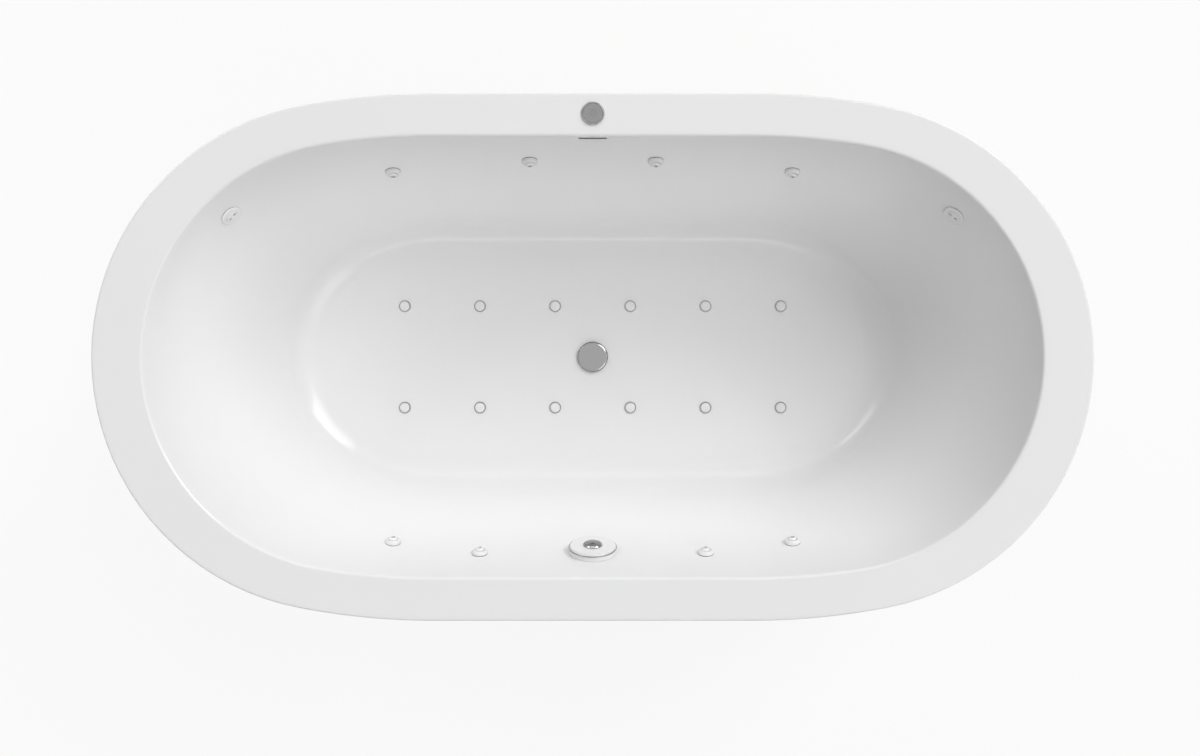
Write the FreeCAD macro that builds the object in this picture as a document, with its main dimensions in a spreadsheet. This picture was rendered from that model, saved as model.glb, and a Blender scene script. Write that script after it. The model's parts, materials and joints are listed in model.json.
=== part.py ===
import FreeCAD, Part
import math
import os
import re
import Sketcher
from FreeCAD import Matrix, Placement, Rotation, Vector

# A drop-in oval jetted bathtub. Millimetres. The origin is on the floor under the middle of the
# tub, +X runs along its length, +Y to the back (the side of the button) and +Z up.

SIZES = (
    # name, value, what it is
    ("rim_half_length", 950, "outer rim, half of its length"),
    ("rim_half_width", 500, "outer rim, half of its width"),
    ("rim_straight", 300, "half of the straight stretch of the rim's long sides"),
    ("rim_tip_gap", 16, "half width less the radius of the round ends, at the rim"),
    ("rim_height", 580, "top of the rim above the floor"),
    ("rim_plate", 5, "thickness of the deck"),
    ("skirt_height", 40, "depth of the turned-down lip"),
    ("rim_round", 4, "rounding of the outer top edge"),
    ("well_half_length", 854, "inner edge of the deck, half length"),
    ("well_half_width", 418, "inner edge of the deck, half width"),
    ("well_straight", 300, "half of the straight stretch of the well's sides, at the top"),
    ("well_straight_gain", 30, "how much longer that stretch is at the floor"),
    ("well_tip_gap", 12, "half width less end radius, at the top"),
    ("well_tip_gap_gain", 8, "how much larger that is at the floor"),
    ("well_depth", 430, "deck to floor of the well"),
    ("well_end_run", 200, "how far a backrest slopes in"),
    ("well_end_lean", 0.8, "share of that slope that is straight"),
    ("well_side_run", 142, "how far a long side slopes in"),
    ("well_side_lean", 0.648, "share of that slope that is straight"),
    ("well_edge_round", 6, "rounding of the deck into the well"),
    ("floor_round", 80, "rounding of the walls into the floor"),
    ("acrylic", 5, "thickness of the acrylic skin"),
    ("acrylic_run", 5.3, "the same, measured level through the sloping walls"),
    ("backed", 8, "thickness of the skin with its backing"),
    ("backed_run", 8.5, "the same, measured level"),
    ("board_half_length", 580, "base board"),
    ("board_half_width", 222, "base board"),
    ("board_thickness", 16, "base board"),
    ("board_jet_hole", 24, "hole in the board round an air jet's nut, radius"),
    ("board_waste_hole", 46, "hole in the board round the waste, radius"),
    ("rail", 30, "side of the frame's square tubes"),
    ("rail_wall", 2, "wall of the frame's square tubes"),
    ("rail_half_length", 886, "long rails"),
    ("rail_offset", 190, "middle of a long rail from the middle of the tub"),
    ("cross_rail_offset", 320, "middle of a cross rail from the middle of the tub"),
    ("cross_rail_half_length", 460, "cross rails"),
    ("post", 20, "side of the posts under the rim"),
    ("post_offset", 450, "middle of a post from the tub's long axis"),
    ("tray_inner", 730, "inner edge of a machine tray from the tub's short axis"),
    ("tray_thickness", 4, "machine tray"),
    ("batten_inner", 60, "inner end of a batten from the tub's short axis"),
    ("batten_length", 390, "batten"),
    ("batten_width", 40, "batten"),
    ("batten_height", 18, "batten"),
    ("batten_offset", 460, "middle of a batten from the tub's long axis"),
    ("foot_x", 700, "feet from the short axis"),
    ("foot_pad_radius", 30, "foot pad"),
    ("foot_stud_radius", 6, "levelling stud"),
    ("foot_stud_top", 112, "top of the stud with the foot part way out"),
    ("thread_clearance", 0.08, "between a levelling stud and its nut"),
    ("lock_nut_height", 10, "lock nut of a foot"),
    ("nut_reach", 0.5774, "half across corners over across flats"),
    ("hardware_gap", 0.1, "gap left where curved pieces meet"),
    ("air_jet_pitch", 169, "air jets along a row"),
    ("air_jet_row", 114, "a row of air jets from the long axis"),
    ("air_jet_flange", 13.4, "radius"),
    ("air_jet_cap", 11.5, "radius"),
    ("air_jet_tail", 11, "radius"),
    ("air_jet_bore", 8, "radius"),
    ("air_jet_bottom", 98, "bottom of an air jet's body above the floor"),
    ("air_jet_seat", 121, "top of the check valve's seat above the floor"),
    ("air_port_level", 111, "middle of the air ports and the manifold above the floor"),
    ("air_port_reach", 18, "end of an air port from its jet's axis"),
    ("valve_ball", 5.5, "radius of a check ball"),
    ("valve_hole", 4, "radius of the hole it closes"),
    ("manifold_offset", 70, "manifold pipe from the long axis"),
    ("manifold_outer", 12, "radius"),
    ("manifold_bore", 10, "radius"),
    ("manifold_start", 480, "end of the manifold towards the blower, from the short axis"),
    ("manifold_stop", 440, "far end of the manifold"),
    ("manifold_branch", 6, "radius of a branch"),
    ("jet_tail", 13.3, "radius of a water jet's threaded tail"),
    ("jet_tail_depth", 30, "length of the tail behind the well's surface"),
    ("jet_ball", 11, "radius of a swivelling nozzle"),
    ("jet_ball_centre", 3.5, "its middle, proud of the well's surface"),
    ("jet_ball_gap", 0.3, "running gap round the ball"),
    ("jet_ball_bore", 4.5, "radius of the water way"),
    ("jet_ring", 15.5, "radius of a side jet's ring"),
    ("end_jet_ring", 21.5, "radius of an end jet's ring"),
    ("rotor_radius", 12, "radius of an end jet's rotor"),
    ("jet_nut_flats", 34, "across flats"),
    ("jet_nut_height", 6.8, "nut behind a water jet"),
    ("jet_nut_gap", 0.6, "between such a nut and the curved back of the wall"),
    ("jet_housing", 17, "radius"),
    ("jet_housing_end", 58, "back of a housing behind the well's surface"),
    ("jet_port_depth", 40, "middle of its water port behind the well's surface"),
    ("jet_port_reach", 24, "end of its water port from its axis"),
    ("jet_port", 9, "outer radius of the water port"),
    ("jet_port_bore", 7, "bore radius of the water port"),
    ("ring_main_level", 365, "middle of the water ring main above the floor"),
    ("ring_main_offset", 45, "ring main from the well's surface, level"),
    ("ring_main_outer", 16, "radius"),
    ("ring_main_bore", 13.5, "radius"),
    ("inner_jet_level", 467, "side jets nearer the middle, above the floor"),
    ("outer_jet_level", 430, "side jets nearer the ends, above the floor"),
    ("back_inner_jet_x", 125, "back wall, inner jets from the short axis"),
    ("front_inner_jet_x", 224, "front wall, inner jets from the short axis"),
    ("outer_jet_x", 403, "outer jets from the short axis"),
    ("end_jet_level", 503, "end jets above the floor"),
    ("end_jet_x", 707, "end jets from the short axis"),
    ("suction_level", 462, "suction fitting above the floor"),
    ("suction_radius", 46.5, "suction cover"),
    ("suction_proud", 16, "suction cover, proud of the wall"),
    ("suction_lift", 0.85, "underside of that flange, clear of the curved wall"),
    ("suction_flange", 2.2, "top of the fitting's flange"),
    ("suction_pipe_outer", 20.5, "radius"),
    ("suction_pipe_bore", 17.5, "radius"),
    ("suction_tail", 50, "length of the tail behind the well's surface"),
    ("suction_cap", 19, "radius of the cap in the middle of the cover"),
    ("drain_radius", 35, "domed plug"),
    ("drain_flange_top", 1.6, "flange above the floor of the well"),
    ("drain_throat", 24, "outer radius of the flange's throat"),
    ("drain_throat_bore", 21.5, "its bore"),
    ("drain_throat_depth", 28, "its length below the floor of the well"),
    ("seal_height", 2, "plug seal"),
    ("plug_stem", 4, "radius of the plug's stem"),
    ("plug_height", 7.6, "thickness of the domed plug"),
    ("plug_stem_bottom", 95, "lower end of the stem above the floor"),
    ("stem_guide", 112, "underside of the stem's guide above the floor"),
    ("waste_port_level", 80, "middle of the overflow's inlet to the waste body"),
    ("waste_pipe", 20, "outer radius of the outlet pipe"),
    ("waste_pipe_bore", 18, "its bore"),
    ("waste_pipe_start", 30, "inner end of the outlet pipe from the long axis"),
    ("waste_pipe_end", 240, "end of the outlet pipe from the long axis"),
    ("waste_collar", 23.5, "radius of the collar round the outlet pipe at the trap"),
    ("waste_collar_end", 56, "end of that collar from the long axis"),
    ("waste_pipe_level", 29, "middle of the outlet pipe above the floor"),
    ("slot_half_width", 29.5, "overflow slot"),
    ("slot_height", 12.5, "overflow slot"),
    ("slot_top", 8.5, "top of the slot below the deck"),
    ("duct_half_width", 38, "overflow duct behind the slot"),
    ("duct_back", 437, "back of the duct from the long axis"),
    ("duct_bottom", 545, "bottom of the duct above the floor"),
    ("duct_wall", 3, "overflow duct"),
    ("overflow_pipe_y", 429, "top of the overflow pipe from the long axis"),
    ("overflow_pipe_outer", 9, "radius"),
    ("overflow_pipe_bore", 7.5, "radius"),
    ("button_y", 460.5, "button from the long axis"),
    ("button_bezel", 22.3, "radius"),
    ("button_tail", 20.8, "radius of the bezel's tail"),
    ("button_cap", 19, "radius"),
    ("button_well", 19.3, "bore of the bezel"),
    ("button_stem", 5, "radius"),
    ("button_proud", 4, "bezel above the deck"),
    ("bezel_floor", 552, "underside of the bezel's tail above the floor"),
    ("chamber_bottom", 515, "underside of the button's air chamber"),
    ("pump_x", 808, "pump from the short axis"),
    ("pump_level", 200, "pump shaft above the floor"),
    ("motor_radius", 58, "pump motor"),
    ("motor_bore", 50, "inside of the motor's casing"),
    ("shaft_radius", 8, "pump shaft"),
    ("shaft_gap", 0.05, "running gap in the bearings"),
    ("volute_radius", 62, "pump housing"),
    ("impeller_radius", 45, "pump impeller"),
    ("volute_outlet_y", 55, "outlet in front of the short axis of the pump"),
    ("blower_x", 808, "blower from the short axis"),
    ("blower_radius", 65, "blower housing"),
    ("blower_flange", 76, "its fixing flange"),
    ("blower_split", 200, "joint between housing and lid above the floor"),
    ("blower_top", 255, "top of the lid above the floor"),
    ("blower_port_level", 160, "outlet above the floor"),
    ("blower_shaft", 5, "radius"),
    ("screw_radius", 3, "machine screws"),
    ("screw_head", 5, "radius of their heads"),
    ("box_low_x", -310, "control box"),
    ("box_length", 160, "control box"),
    ("box_low_y", 412, "control box"),
    ("box_depth", 66, "control box"),
    ("box_bottom", 180, "control box above the floor"),
    ("box_height", 120, "control box"),
    ("box_wall", 3, "control box"),
    ("gland_radius", 9, "mains gland"),
    ("gland_bore", 4, "mains gland"),
    ("gland_length", 15, "mains gland"),
)

DOC = FreeCAD.newDocument("jetted_bathtub")
SHEET = DOC.addObject("Spreadsheet::Sheet", "Sizes")
for row, (alias, number, note) in enumerate(SIZES, start=1):
    SHEET.set(f"A{row}", alias)
    SHEET.set(f"B{row}", str(number))
    SHEET.setAlias(f"B{row}", alias)
    SHEET.set(f"C{row}", note)
DOC.recompute()
ALIASES = re.compile(r"\b(" + "|".join(alias for alias, _, _ in SIZES) + r")\b")
UP = Vector(0, 0, 1)
NODES = []


# ---------------------------------------------------------------- sizes and small helpers

def bound(text):
    """An expression that other objects can hold: each size's name points at the sheet."""
    return ALIASES.sub(r"Sizes.\1", str(text))


def value(text):
    """The number that an expression of sizes comes to."""
    return float(SHEET.evalExpression(bound(text)))


def node(label, piece):
    """Keeps a piece as one of the part's own nodes."""
    piece.Label = label
    NODES.append(piece)
    return piece


def feature(name, shape):
    """A piece whose shape comes straight from solid geometry."""
    piece = DOC.addObject("Part::Feature", name)
    piece.Shape = shape
    return piece


def origin_plane(body, role):
    """One of a body's own origin planes."""
    return next(item for item in body.Origin.OriginFeatures if item.Role == role)


def new_body(name):
    """An empty body."""
    return DOC.addObject("PartDesign::Body", name)


def new_sketch(body, name, role="XY_Plane", level="0"):
    """A sketch on one of the body's origin planes, lifted off it by level."""
    sketch = body.newObject("Sketcher::SketchObject", name)
    sketch.AttachmentSupport = (origin_plane(body, role), [""])
    sketch.MapMode = "FlatFace"
    if level != "0":
        sketch.setExpression("AttachmentOffset.Base.z", bound(level))
    return sketch


def pin(sketch, kind, places, text):
    """A dimension of the sketch, driven by the sheet."""
    index = sketch.addConstraint(Sketcher.Constraint(kind, *places, value(text)))
    sketch.setExpression(f"Constraints[{index}]", bound(text))


def draw_outline(sketch, points):
    """A closed outline of straight lines through points given as expressions."""
    first = sketch.GeometryCount
    corners = [Vector(value(across), value(along), 0) for across, along in points]
    count = len(corners)
    for index, corner in enumerate(corners):
        sketch.addGeometry(Part.LineSegment(corner, corners[(index + 1) % count]))
    for index, (corner, (across, along)) in enumerate(zip(corners, points)):
        line = first + index
        after = first + (index + 1) % count
        sketch.addConstraint(Sketcher.Constraint("Coincident", line, 2, after, 1))
        for kind, number, axis, text in (("DistanceX", corner.x, -2, across),
                                         ("DistanceY", corner.y, -1, along)):
            if abs(number) < 1e-9:
                sketch.addConstraint(Sketcher.Constraint("PointOnObject", line, 1, axis))
            else:
                pin(sketch, kind, (-1, 1, line, 1), text)


def draw_circle(sketch, across, along, radius):
    """A circle whose middle and radius are expressions."""
    middle = Vector(value(across), value(along), 0)
    index = sketch.addGeometry(Part.Circle(middle, UP, value(radius)))
    for kind, number, axis, text in (("DistanceX", middle.x, -2, across),
                                     ("DistanceY", middle.y, -1, along)):
        if abs(number) < 1e-9:
            sketch.addConstraint(Sketcher.Constraint("PointOnObject", index, 3, axis))
        else:
            pin(sketch, kind, (-1, 1, index, 3), text)
    pin(sketch, "Radius", (index,), radius)


def turned(name, points):
    """A body turned about its Z axis; points are (radius, height) pairs of expressions."""
    body = new_body(name)
    profile = new_sketch(body, f"{name}_profile", "XZ_Plane")
    draw_outline(profile, points)
    turn = body.newObject("PartDesign::Revolution", f"{name}_turn")
    turn.Profile = profile
    turn.ReferenceAxis = (profile, ["V_Axis"])
    turn.Angle = 360
    body.Tip = turn
    return body


def tube_body(name, outer, inner, low, high):
    """A plain round tube standing on the Z axis."""
    return turned(name, [(inner, low), (outer, low), (outer, high), (inner, high)])


def hexagon_nut(name, flats, hole, low, height):
    """A hexagon nut round the Z axis."""
    body = new_body(name)
    outline = new_sketch(body, f"{name}_outline", "XY_Plane", low)
    reach = f"({flats})*nut_reach"
    half = f"({flats})/2"
    quarter = f"({flats})*nut_reach/2"
    draw_outline(outline, [(reach, "0"), (quarter, half), (f"-{quarter}", half),
                           (f"-{reach}", "0"), (f"-{quarter}", f"-{half}"), (quarter, f"-{half}")])
    draw_circle(outline, "0", "0", hole)
    pad = body.newObject("PartDesign::Pad", f"{name}_pad")
    pad.Profile = outline
    pad.setExpression("Length", bound(height))
    body.Tip = pad
    return body


def box(name, low, size):
    """A box from its low corner and its three sizes, all expressions."""
    solid = DOC.addObject("Part::Box", name)
    for field, text in zip(("Length", "Width", "Height"), size):
        solid.setExpression(field, bound(text))
    for axis, text in zip("xyz", low):
        solid.setExpression(f"Placement.Base.{axis}", bound(text))
    return solid


def cylinder(name, radius, length, start, direction=UP):
    """A cylinder from the middle of its first face along a direction."""
    solid = DOC.addObject("Part::Cylinder", name)
    solid.Placement = Placement(Vector(), Rotation(UP, direction))
    solid.setExpression("Radius", bound(radius))
    solid.setExpression("Height", bound(length))
    for axis, text in zip("xyz", start):
        solid.setExpression(f"Placement.Base.{axis}", bound(text))
    return solid


def fused(name, pieces):
    """One solid of several."""
    whole = DOC.addObject("Part::MultiFuse", name)
    whole.Shapes = pieces
    whole.Refine = True
    return whole


def grouped(name, pieces):
    """Several solids kept apart in one piece."""
    group = DOC.addObject("Part::Compound", name)
    group.Links = pieces
    return group


def cut(name, base, tool):
    """The base less the tool."""
    rest = DOC.addObject("Part::Cut", name)
    rest.Base = base
    rest.Tool = tool
    return rest


def copies(name, master, places):
    """Copies of one master piece, a separate solid at each place."""
    DOC.recompute()
    solids = []
    for place in places:
        for solid in master.Shape.Solids:
            moved = solid.copy()
            moved.Placement = place.multiply(solid.Placement)
            solids.append(moved)
    return feature(name, Part.makeCompound(solids) if len(solids) > 1 else solids[0])


# ---------------------------------------------------------------- pipes

def rounded_route(points, bend):
    """Edges along straight runs joined by tangent arcs of the bend radius."""
    corners = [Vector(*point) for point in points]
    edges = []
    start = corners[0]
    for before, corner, after in zip(corners, corners[1:], corners[2:]):
        incoming = (corner - before).normalize()
        outgoing = (after - corner).normalize()
        turn = incoming.getAngle(outgoing)
        setback = bend * math.tan(turn / 2)
        inward = (outgoing - incoming).normalize()
        arc_start = corner - incoming * setback
        arc_end = corner + outgoing * setback
        middle = corner + inward * (bend / math.cos(turn / 2) - bend)
        edges.append(Part.makeLine(start, arc_start))
        edges.append(Part.Arc(arc_start, middle, arc_end).toShape())
        start = arc_end
    edges.append(Part.makeLine(start, corners[-1]))
    return edges


def rod_along(edges, radius):
    """A round bar along straight and circular edges, as one solid."""
    runs = []
    for edge in edges:
        start = edge.valueAt(edge.FirstParameter)
        heading = edge.tangentAt(edge.FirstParameter)
        disc = Part.Face(Part.Wire(Part.makeCircle(radius, start, heading)))
        if isinstance(edge.Curve, Part.Line):
            runs.append(disc.extrude(edge.valueAt(edge.LastParameter) - start))
        else:
            sweep = math.degrees(edge.Length / edge.Curve.Radius)
            axis = heading.cross(edge.Curve.Center - start)
            runs.append(disc.revolve(edge.Curve.Center, axis, sweep))
    return runs[0].multiFuse(runs[1:]) if len(runs) > 1 else runs[0]


def pipe(name, edges, outer, inner):
    """A pipe with its bore along a route."""
    wall = rod_along(edges, value(outer))
    bore = rod_along(edges, value(inner))
    return feature(name, wall.cut(bore).removeSplitter())


# ---------------------------------------------------------------- the oval and the well

def oval(length, width, straight, tip):
    """The four expressions of a three-centred oval: half sizes, half straight and end radius."""
    return {"length": length, "width": width, "straight": straight, "tip": tip}


def rim_oval(offset):
    """The outline of the rim, grown by offset."""
    width = f"(rim_half_width+({offset}))"
    return oval(f"(rim_half_length+({offset}))", width, "rim_straight", f"({width}-rim_tip_gap)")


def well_oval(share, offset):
    """The well's section at a share of its depth, grown by offset."""
    run = f"well_end_run*(well_end_lean*{share}+(1-well_end_lean)*{share}^2)"
    length = f"(well_half_length-{run}+({offset}))"
    run = f"well_side_run*(well_side_lean*{share}+(1-well_side_lean)*{share}^2)"
    width = f"(well_half_width-{run}+({offset}))"
    tip = f"({width}-well_tip_gap-well_tip_gap_gain*{share})"
    return oval(length, width, f"(well_straight+well_straight_gain*{share})", tip)


def oval_numbers(section):
    """Half sizes, straight, end radius, shoulder radius and the angle where those two meet."""
    length, width, straight, tip = (value(section[key]) for key in ("length", "width", "straight", "tip"))
    reach = length - tip - straight
    shoulder = (reach ** 2 + width ** 2 - tip ** 2) / (2 * (width - tip))
    angle = math.atan2(shoulder - width, reach)
    return length, width, straight, tip, shoulder, angle


def oval_curves(section, level=0.0):
    """The eight tangent curves of the oval, anticlockwise from the right-hand end."""
    length, width, straight, tip, shoulder, angle = oval_numbers(section)
    end = length - tip
    sink = width - shoulder

    def arc(across, along, radius, first, last):
        circle = Part.Circle(Vector(across, along, level), UP, radius)
        return Part.ArcOfCircle(circle, first, last)

    def line(across, along):
        return Part.LineSegment(Vector(across, along, level), Vector(-across, along, level))

    half = math.pi / 2
    return [
        arc(end, 0, tip, -angle, angle),
        arc(straight, sink, shoulder, angle, half),
        line(straight, width),
        arc(-straight, sink, shoulder, half, 2 * half - angle),
        arc(-end, 0, tip, 2 * half - angle, 2 * half + angle),
        arc(-straight, -sink, shoulder, 2 * half + angle, 3 * half),
        line(-straight, -width),
        arc(straight, -sink, shoulder, 3 * half, 4 * half - angle),
    ]


def draw_oval(sketch, section):
    """The oval in a sketch, tangent all round and held by four driven sizes."""
    first = sketch.GeometryCount
    sketch.addGeometry(oval_curves(section), False)
    right, top, left, bottom = first, first + 2, first + 4, first + 6
    for index in range(8):
        places = (first + index, 2, first + (index + 1) % 8, 1)
        sketch.addConstraint(Sketcher.Constraint("Tangent", *places))
    for places in (("PointOnObject", right, 3, -1), ("Symmetric", right, 3, left, 3, -1, 1),
                   ("Equal", right, left), ("Symmetric", top, 1, top, 2, -2),
                   ("Symmetric", bottom, 1, top, 2, -1), ("Symmetric", bottom, 2, top, 1, -1)):
        sketch.addConstraint(Sketcher.Constraint(*places))
    pin(sketch, "DistanceX", (-1, 1, right, 3), f"{section['length']}-{section['tip']}")
    pin(sketch, "Radius", (right,), section["tip"])
    pin(sketch, "DistanceX", (-1, 1, top, 1), section["straight"])
    pin(sketch, "DistanceY", (-1, 1, top, 1), section["width"])


def edges_at(shape, level):
    """Names of the edges that lie level at a height."""
    return [f"Edge{index}" for index, edge in enumerate(shape.Edges, start=1)
            if all(abs(edge.valueAt(place).z - level) < 0.05
                   for place in (edge.FirstParameter, (edge.FirstParameter + edge.LastParameter) / 2,
                                 edge.LastParameter))]


def basin_body(name, offset, drop, rounding):
    """A solid of the well's form, grown level by offset and down by drop, with its floor rounded."""
    body = new_body(name)
    sketches = []
    for step in range(5):
        share = step / 4
        sketch = new_sketch(body, f"{name}_section_{step}", "XY_Plane",
                            f"rim_height-{share}*(well_depth+({drop}))")
        draw_oval(sketch, well_oval(share, offset))
        sketches.append(sketch)
    loft = body.newObject("PartDesign::AdditiveLoft", f"{name}_loft")
    loft.Profile = sketches[0]
    loft.Sections = sketches[1:]
    body.Tip = loft
    DOC.recompute()
    floor = value(f"rim_height-well_depth-({drop})")
    rounded = body.newObject("PartDesign::Fillet", f"{name}_floor_round")
    rounded.Base = (loft, edges_at(loft.Shape, floor))
    rounded.setExpression("Radius", bound(rounding))
    body.Tip = rounded
    return body


def wall_reach(across, level):
    """How far the well's wall is from the long axis, at a distance along the tub and a height."""
    share = (value("rim_height") - level) / value("well_depth")
    length, width, straight, tip, shoulder, angle = oval_numbers(well_oval(share, "0"))
    along = abs(across)
    if along <= straight:
        return width
    if along <= length - tip + tip * math.cos(angle):
        return width - shoulder + math.sqrt(shoulder ** 2 - (along - straight) ** 2)
    return math.sqrt(tip ** 2 - (along - length + tip) ** 2)


def wall_place(across, level, side):
    """Where a fitting sits on the wall: its Z axis points into the well, its Y axis up the wall."""
    nudge = 0.5
    slope_x = (wall_reach(across + nudge, level) - wall_reach(across - nudge, level)) / (2 * nudge)
    slope_z = (wall_reach(across, level + nudge) - wall_reach(across, level - nudge)) / (2 * nudge)
    inward = Vector(slope_x, -side, slope_z).normalize()
    climb = (UP - inward * UP.dot(inward)).normalize()
    sideways = climb.cross(inward)
    matrix = Matrix(sideways.x, climb.x, inward.x, 0, sideways.y, climb.y, inward.y, 0,
                    sideways.z, climb.z, inward.z, 0, 0, 0, 0, 1)
    return Placement(Vector(across, side * wall_reach(across, level), level), Rotation(matrix))


BACK = 1
FRONT = -1


def side_jet_places():
    """The eight side jets: the back wall from left to right, then the front wall."""
    places = []
    for side, inner in ((BACK, "back_inner_jet_x"), (FRONT, "front_inner_jet_x")):
        for across, level in (("-outer_jet_x", "outer_jet_level"), (f"-{inner}", "inner_jet_level"),
                              (inner, "inner_jet_level"), ("outer_jet_x", "outer_jet_level")):
            places.append(wall_place(value(across), value(level), side))
    return places


def end_jet_places():
    """The two end jets, high on the back corners."""
    return [wall_place(value(text), value("end_jet_level"), BACK) for text in ("-end_jet_x", "end_jet_x")]


def air_jet_spots():
    """Middles of the twelve air jets on the floor."""
    pitch = value("air_jet_pitch")
    row = value("air_jet_row")
    return [((step - 2.5) * pitch, side * row) for side in (BACK, FRONT) for step in range(6)]


SIDE_JETS = side_jet_places()
END_JETS = end_jet_places()
SUCTION = wall_place(0, value("suction_level"), FRONT)
FLOOR = "(rim_height-well_depth)"


# ---------------------------------------------------------------- shell

def wall_openings():
    """Everything that is bored through the skin and its backing."""
    tools = []
    reach = 30
    for place in SIDE_JETS + END_JETS:
        hole = Part.makeCylinder(value("jet_tail+0.3"), 2 * reach, Vector(0, 0, -reach))
        hole.Placement = place
        tools.append(hole)
    hole = Part.makeCylinder(value("suction_pipe_outer+0.4"), 2 * reach, Vector(0, 0, -reach))
    hole.Placement = SUCTION
    tools.append(hole)
    low = value(FLOOR) - 20
    for across, along in air_jet_spots():
        tools.append(Part.makeCylinder(value("air_jet_tail+0.3"), reach, Vector(across, along, low)))
    tools.append(Part.makeCylinder(value("drain_throat+0.4"), reach, Vector(0, 0, low)))
    low = Vector(0, value("button_y"), value("rim_height") - 20)
    tools.append(Part.makeCylinder(value("button_tail+0.3"), reach, low))
    half = value("slot_half_width")
    round_end = value("slot_height/2")
    middle = value("rim_height-slot_top-slot_height/2")
    behind = value("well_half_width-16")
    tools.append(Part.makeBox(2 * (half - round_end), reach, 2 * round_end,
                              Vector(round_end - half, behind, middle - round_end)))
    for across in (round_end - half, half - round_end):
        tools.append(Part.makeCylinder(round_end, reach, Vector(across, behind, middle), Vector(0, 1, 0)))
    return feature("wall_openings", tools[0].multiFuse(tools[1:]))


def shell_pieces():
    """The acrylic tub and the glass-fibre layer bonded to its back."""
    outside = basin_body("outside_form", "acrylic_run", "acrylic", "floor_round+acrylic")
    deck = new_sketch(outside, "deck_outline", "XY_Plane", "rim_height")
    draw_oval(deck, rim_oval("0"))
    plate = outside.newObject("PartDesign::Pad", "deck_pad")
    plate.Profile = deck
    plate.Reversed = True
    plate.setExpression("Length", bound("rim_plate"))
    lip = new_sketch(outside, "skirt_outline", "XY_Plane", "rim_height")
    draw_oval(lip, rim_oval("0"))
    draw_oval(lip, rim_oval("-rim_plate"))
    skirt = outside.newObject("PartDesign::Pad", "skirt_pad")
    skirt.Profile = lip
    skirt.Reversed = True
    skirt.setExpression("Length", bound("skirt_height"))
    outside.Tip = skirt
    well = basin_body("well_form", "0", "0", "floor_round")
    backing = basin_body("backing_form", "backed_run", "backed", "floor_round+backed")
    hollow = cut("hollow_tub", outside, well)
    DOC.recompute()
    eased = DOC.addObject("Part::Fillet", "eased_tub")
    eased.Base = hollow
    rim_edges = []
    for name in edges_at(hollow.Shape, value("rim_height")):
        edge = hollow.Shape.getElement(name)
        middle = edge.valueAt((edge.FirstParameter + edge.LastParameter) / 2)
        outer = Part.Vertex(middle).distToShape(well.Shape)[0] > value("well_edge_round")
        radius = value("rim_round") if outer else value("well_edge_round")
        rim_edges.append((int(name[4:]), radius, radius))
    eased.Edges = rim_edges
    openings = wall_openings()
    node("tub_shell", cut("tub_shell", eased, openings))
    DOC.recompute()
    skin = grouped("inside_and_openings", [outside, openings])
    node("glass_fibre_backing", cut("glass_fibre_backing", backing, skin))
    return backing, hollow


def base_board():
    """The board that is laminated under the floor of the well."""
    body = new_body("base_board")
    outline = new_sketch(body, "board_outline", "XY_Plane", f"{FLOOR}-backed-board_thickness")
    half, wide = "board_half_length", "board_half_width"
    corner = "60"
    draw_outline(outline, [(half, f"{wide}-{corner}"), (f"{half}-{corner}", wide),
                           (f"{corner}-{half}", wide), (f"-{half}", f"{wide}-{corner}"),
                           (f"-{half}", f"{corner}-{wide}"), (f"{corner}-{half}", f"-{wide}"),
                           (f"{half}-{corner}", f"-{wide}"), (half, f"{corner}-{wide}")])
    draw_circle(outline, "0", "0", "board_waste_hole")
    for step in range(6):
        for side in (BACK, FRONT):
            draw_circle(outline, f"{step - 2.5}*air_jet_pitch", f"{side}*air_jet_row", "board_jet_hole")
    pad = body.newObject("PartDesign::Pad", "board_pad")
    pad.Profile = outline
    pad.setExpression("Length", bound("board_thickness-0.05"))
    body.Tip = pad
    return node("base_board", body)


# ---------------------------------------------------------------- frame and feet

def square_tube(name, low, size, along):
    """A hollow square tube; along is the index of its long direction."""
    outer = box(f"{name}_outer", low, size)
    inner_low = [text if index == along else f"{text}+rail_wall" for index, text in enumerate(low)]
    inner_size = [text if index == along else f"{text}-2*rail_wall" for index, text in enumerate(size)]
    inner = box(f"{name}_inner", inner_low, inner_size)
    return cut(name, outer, inner)


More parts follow.
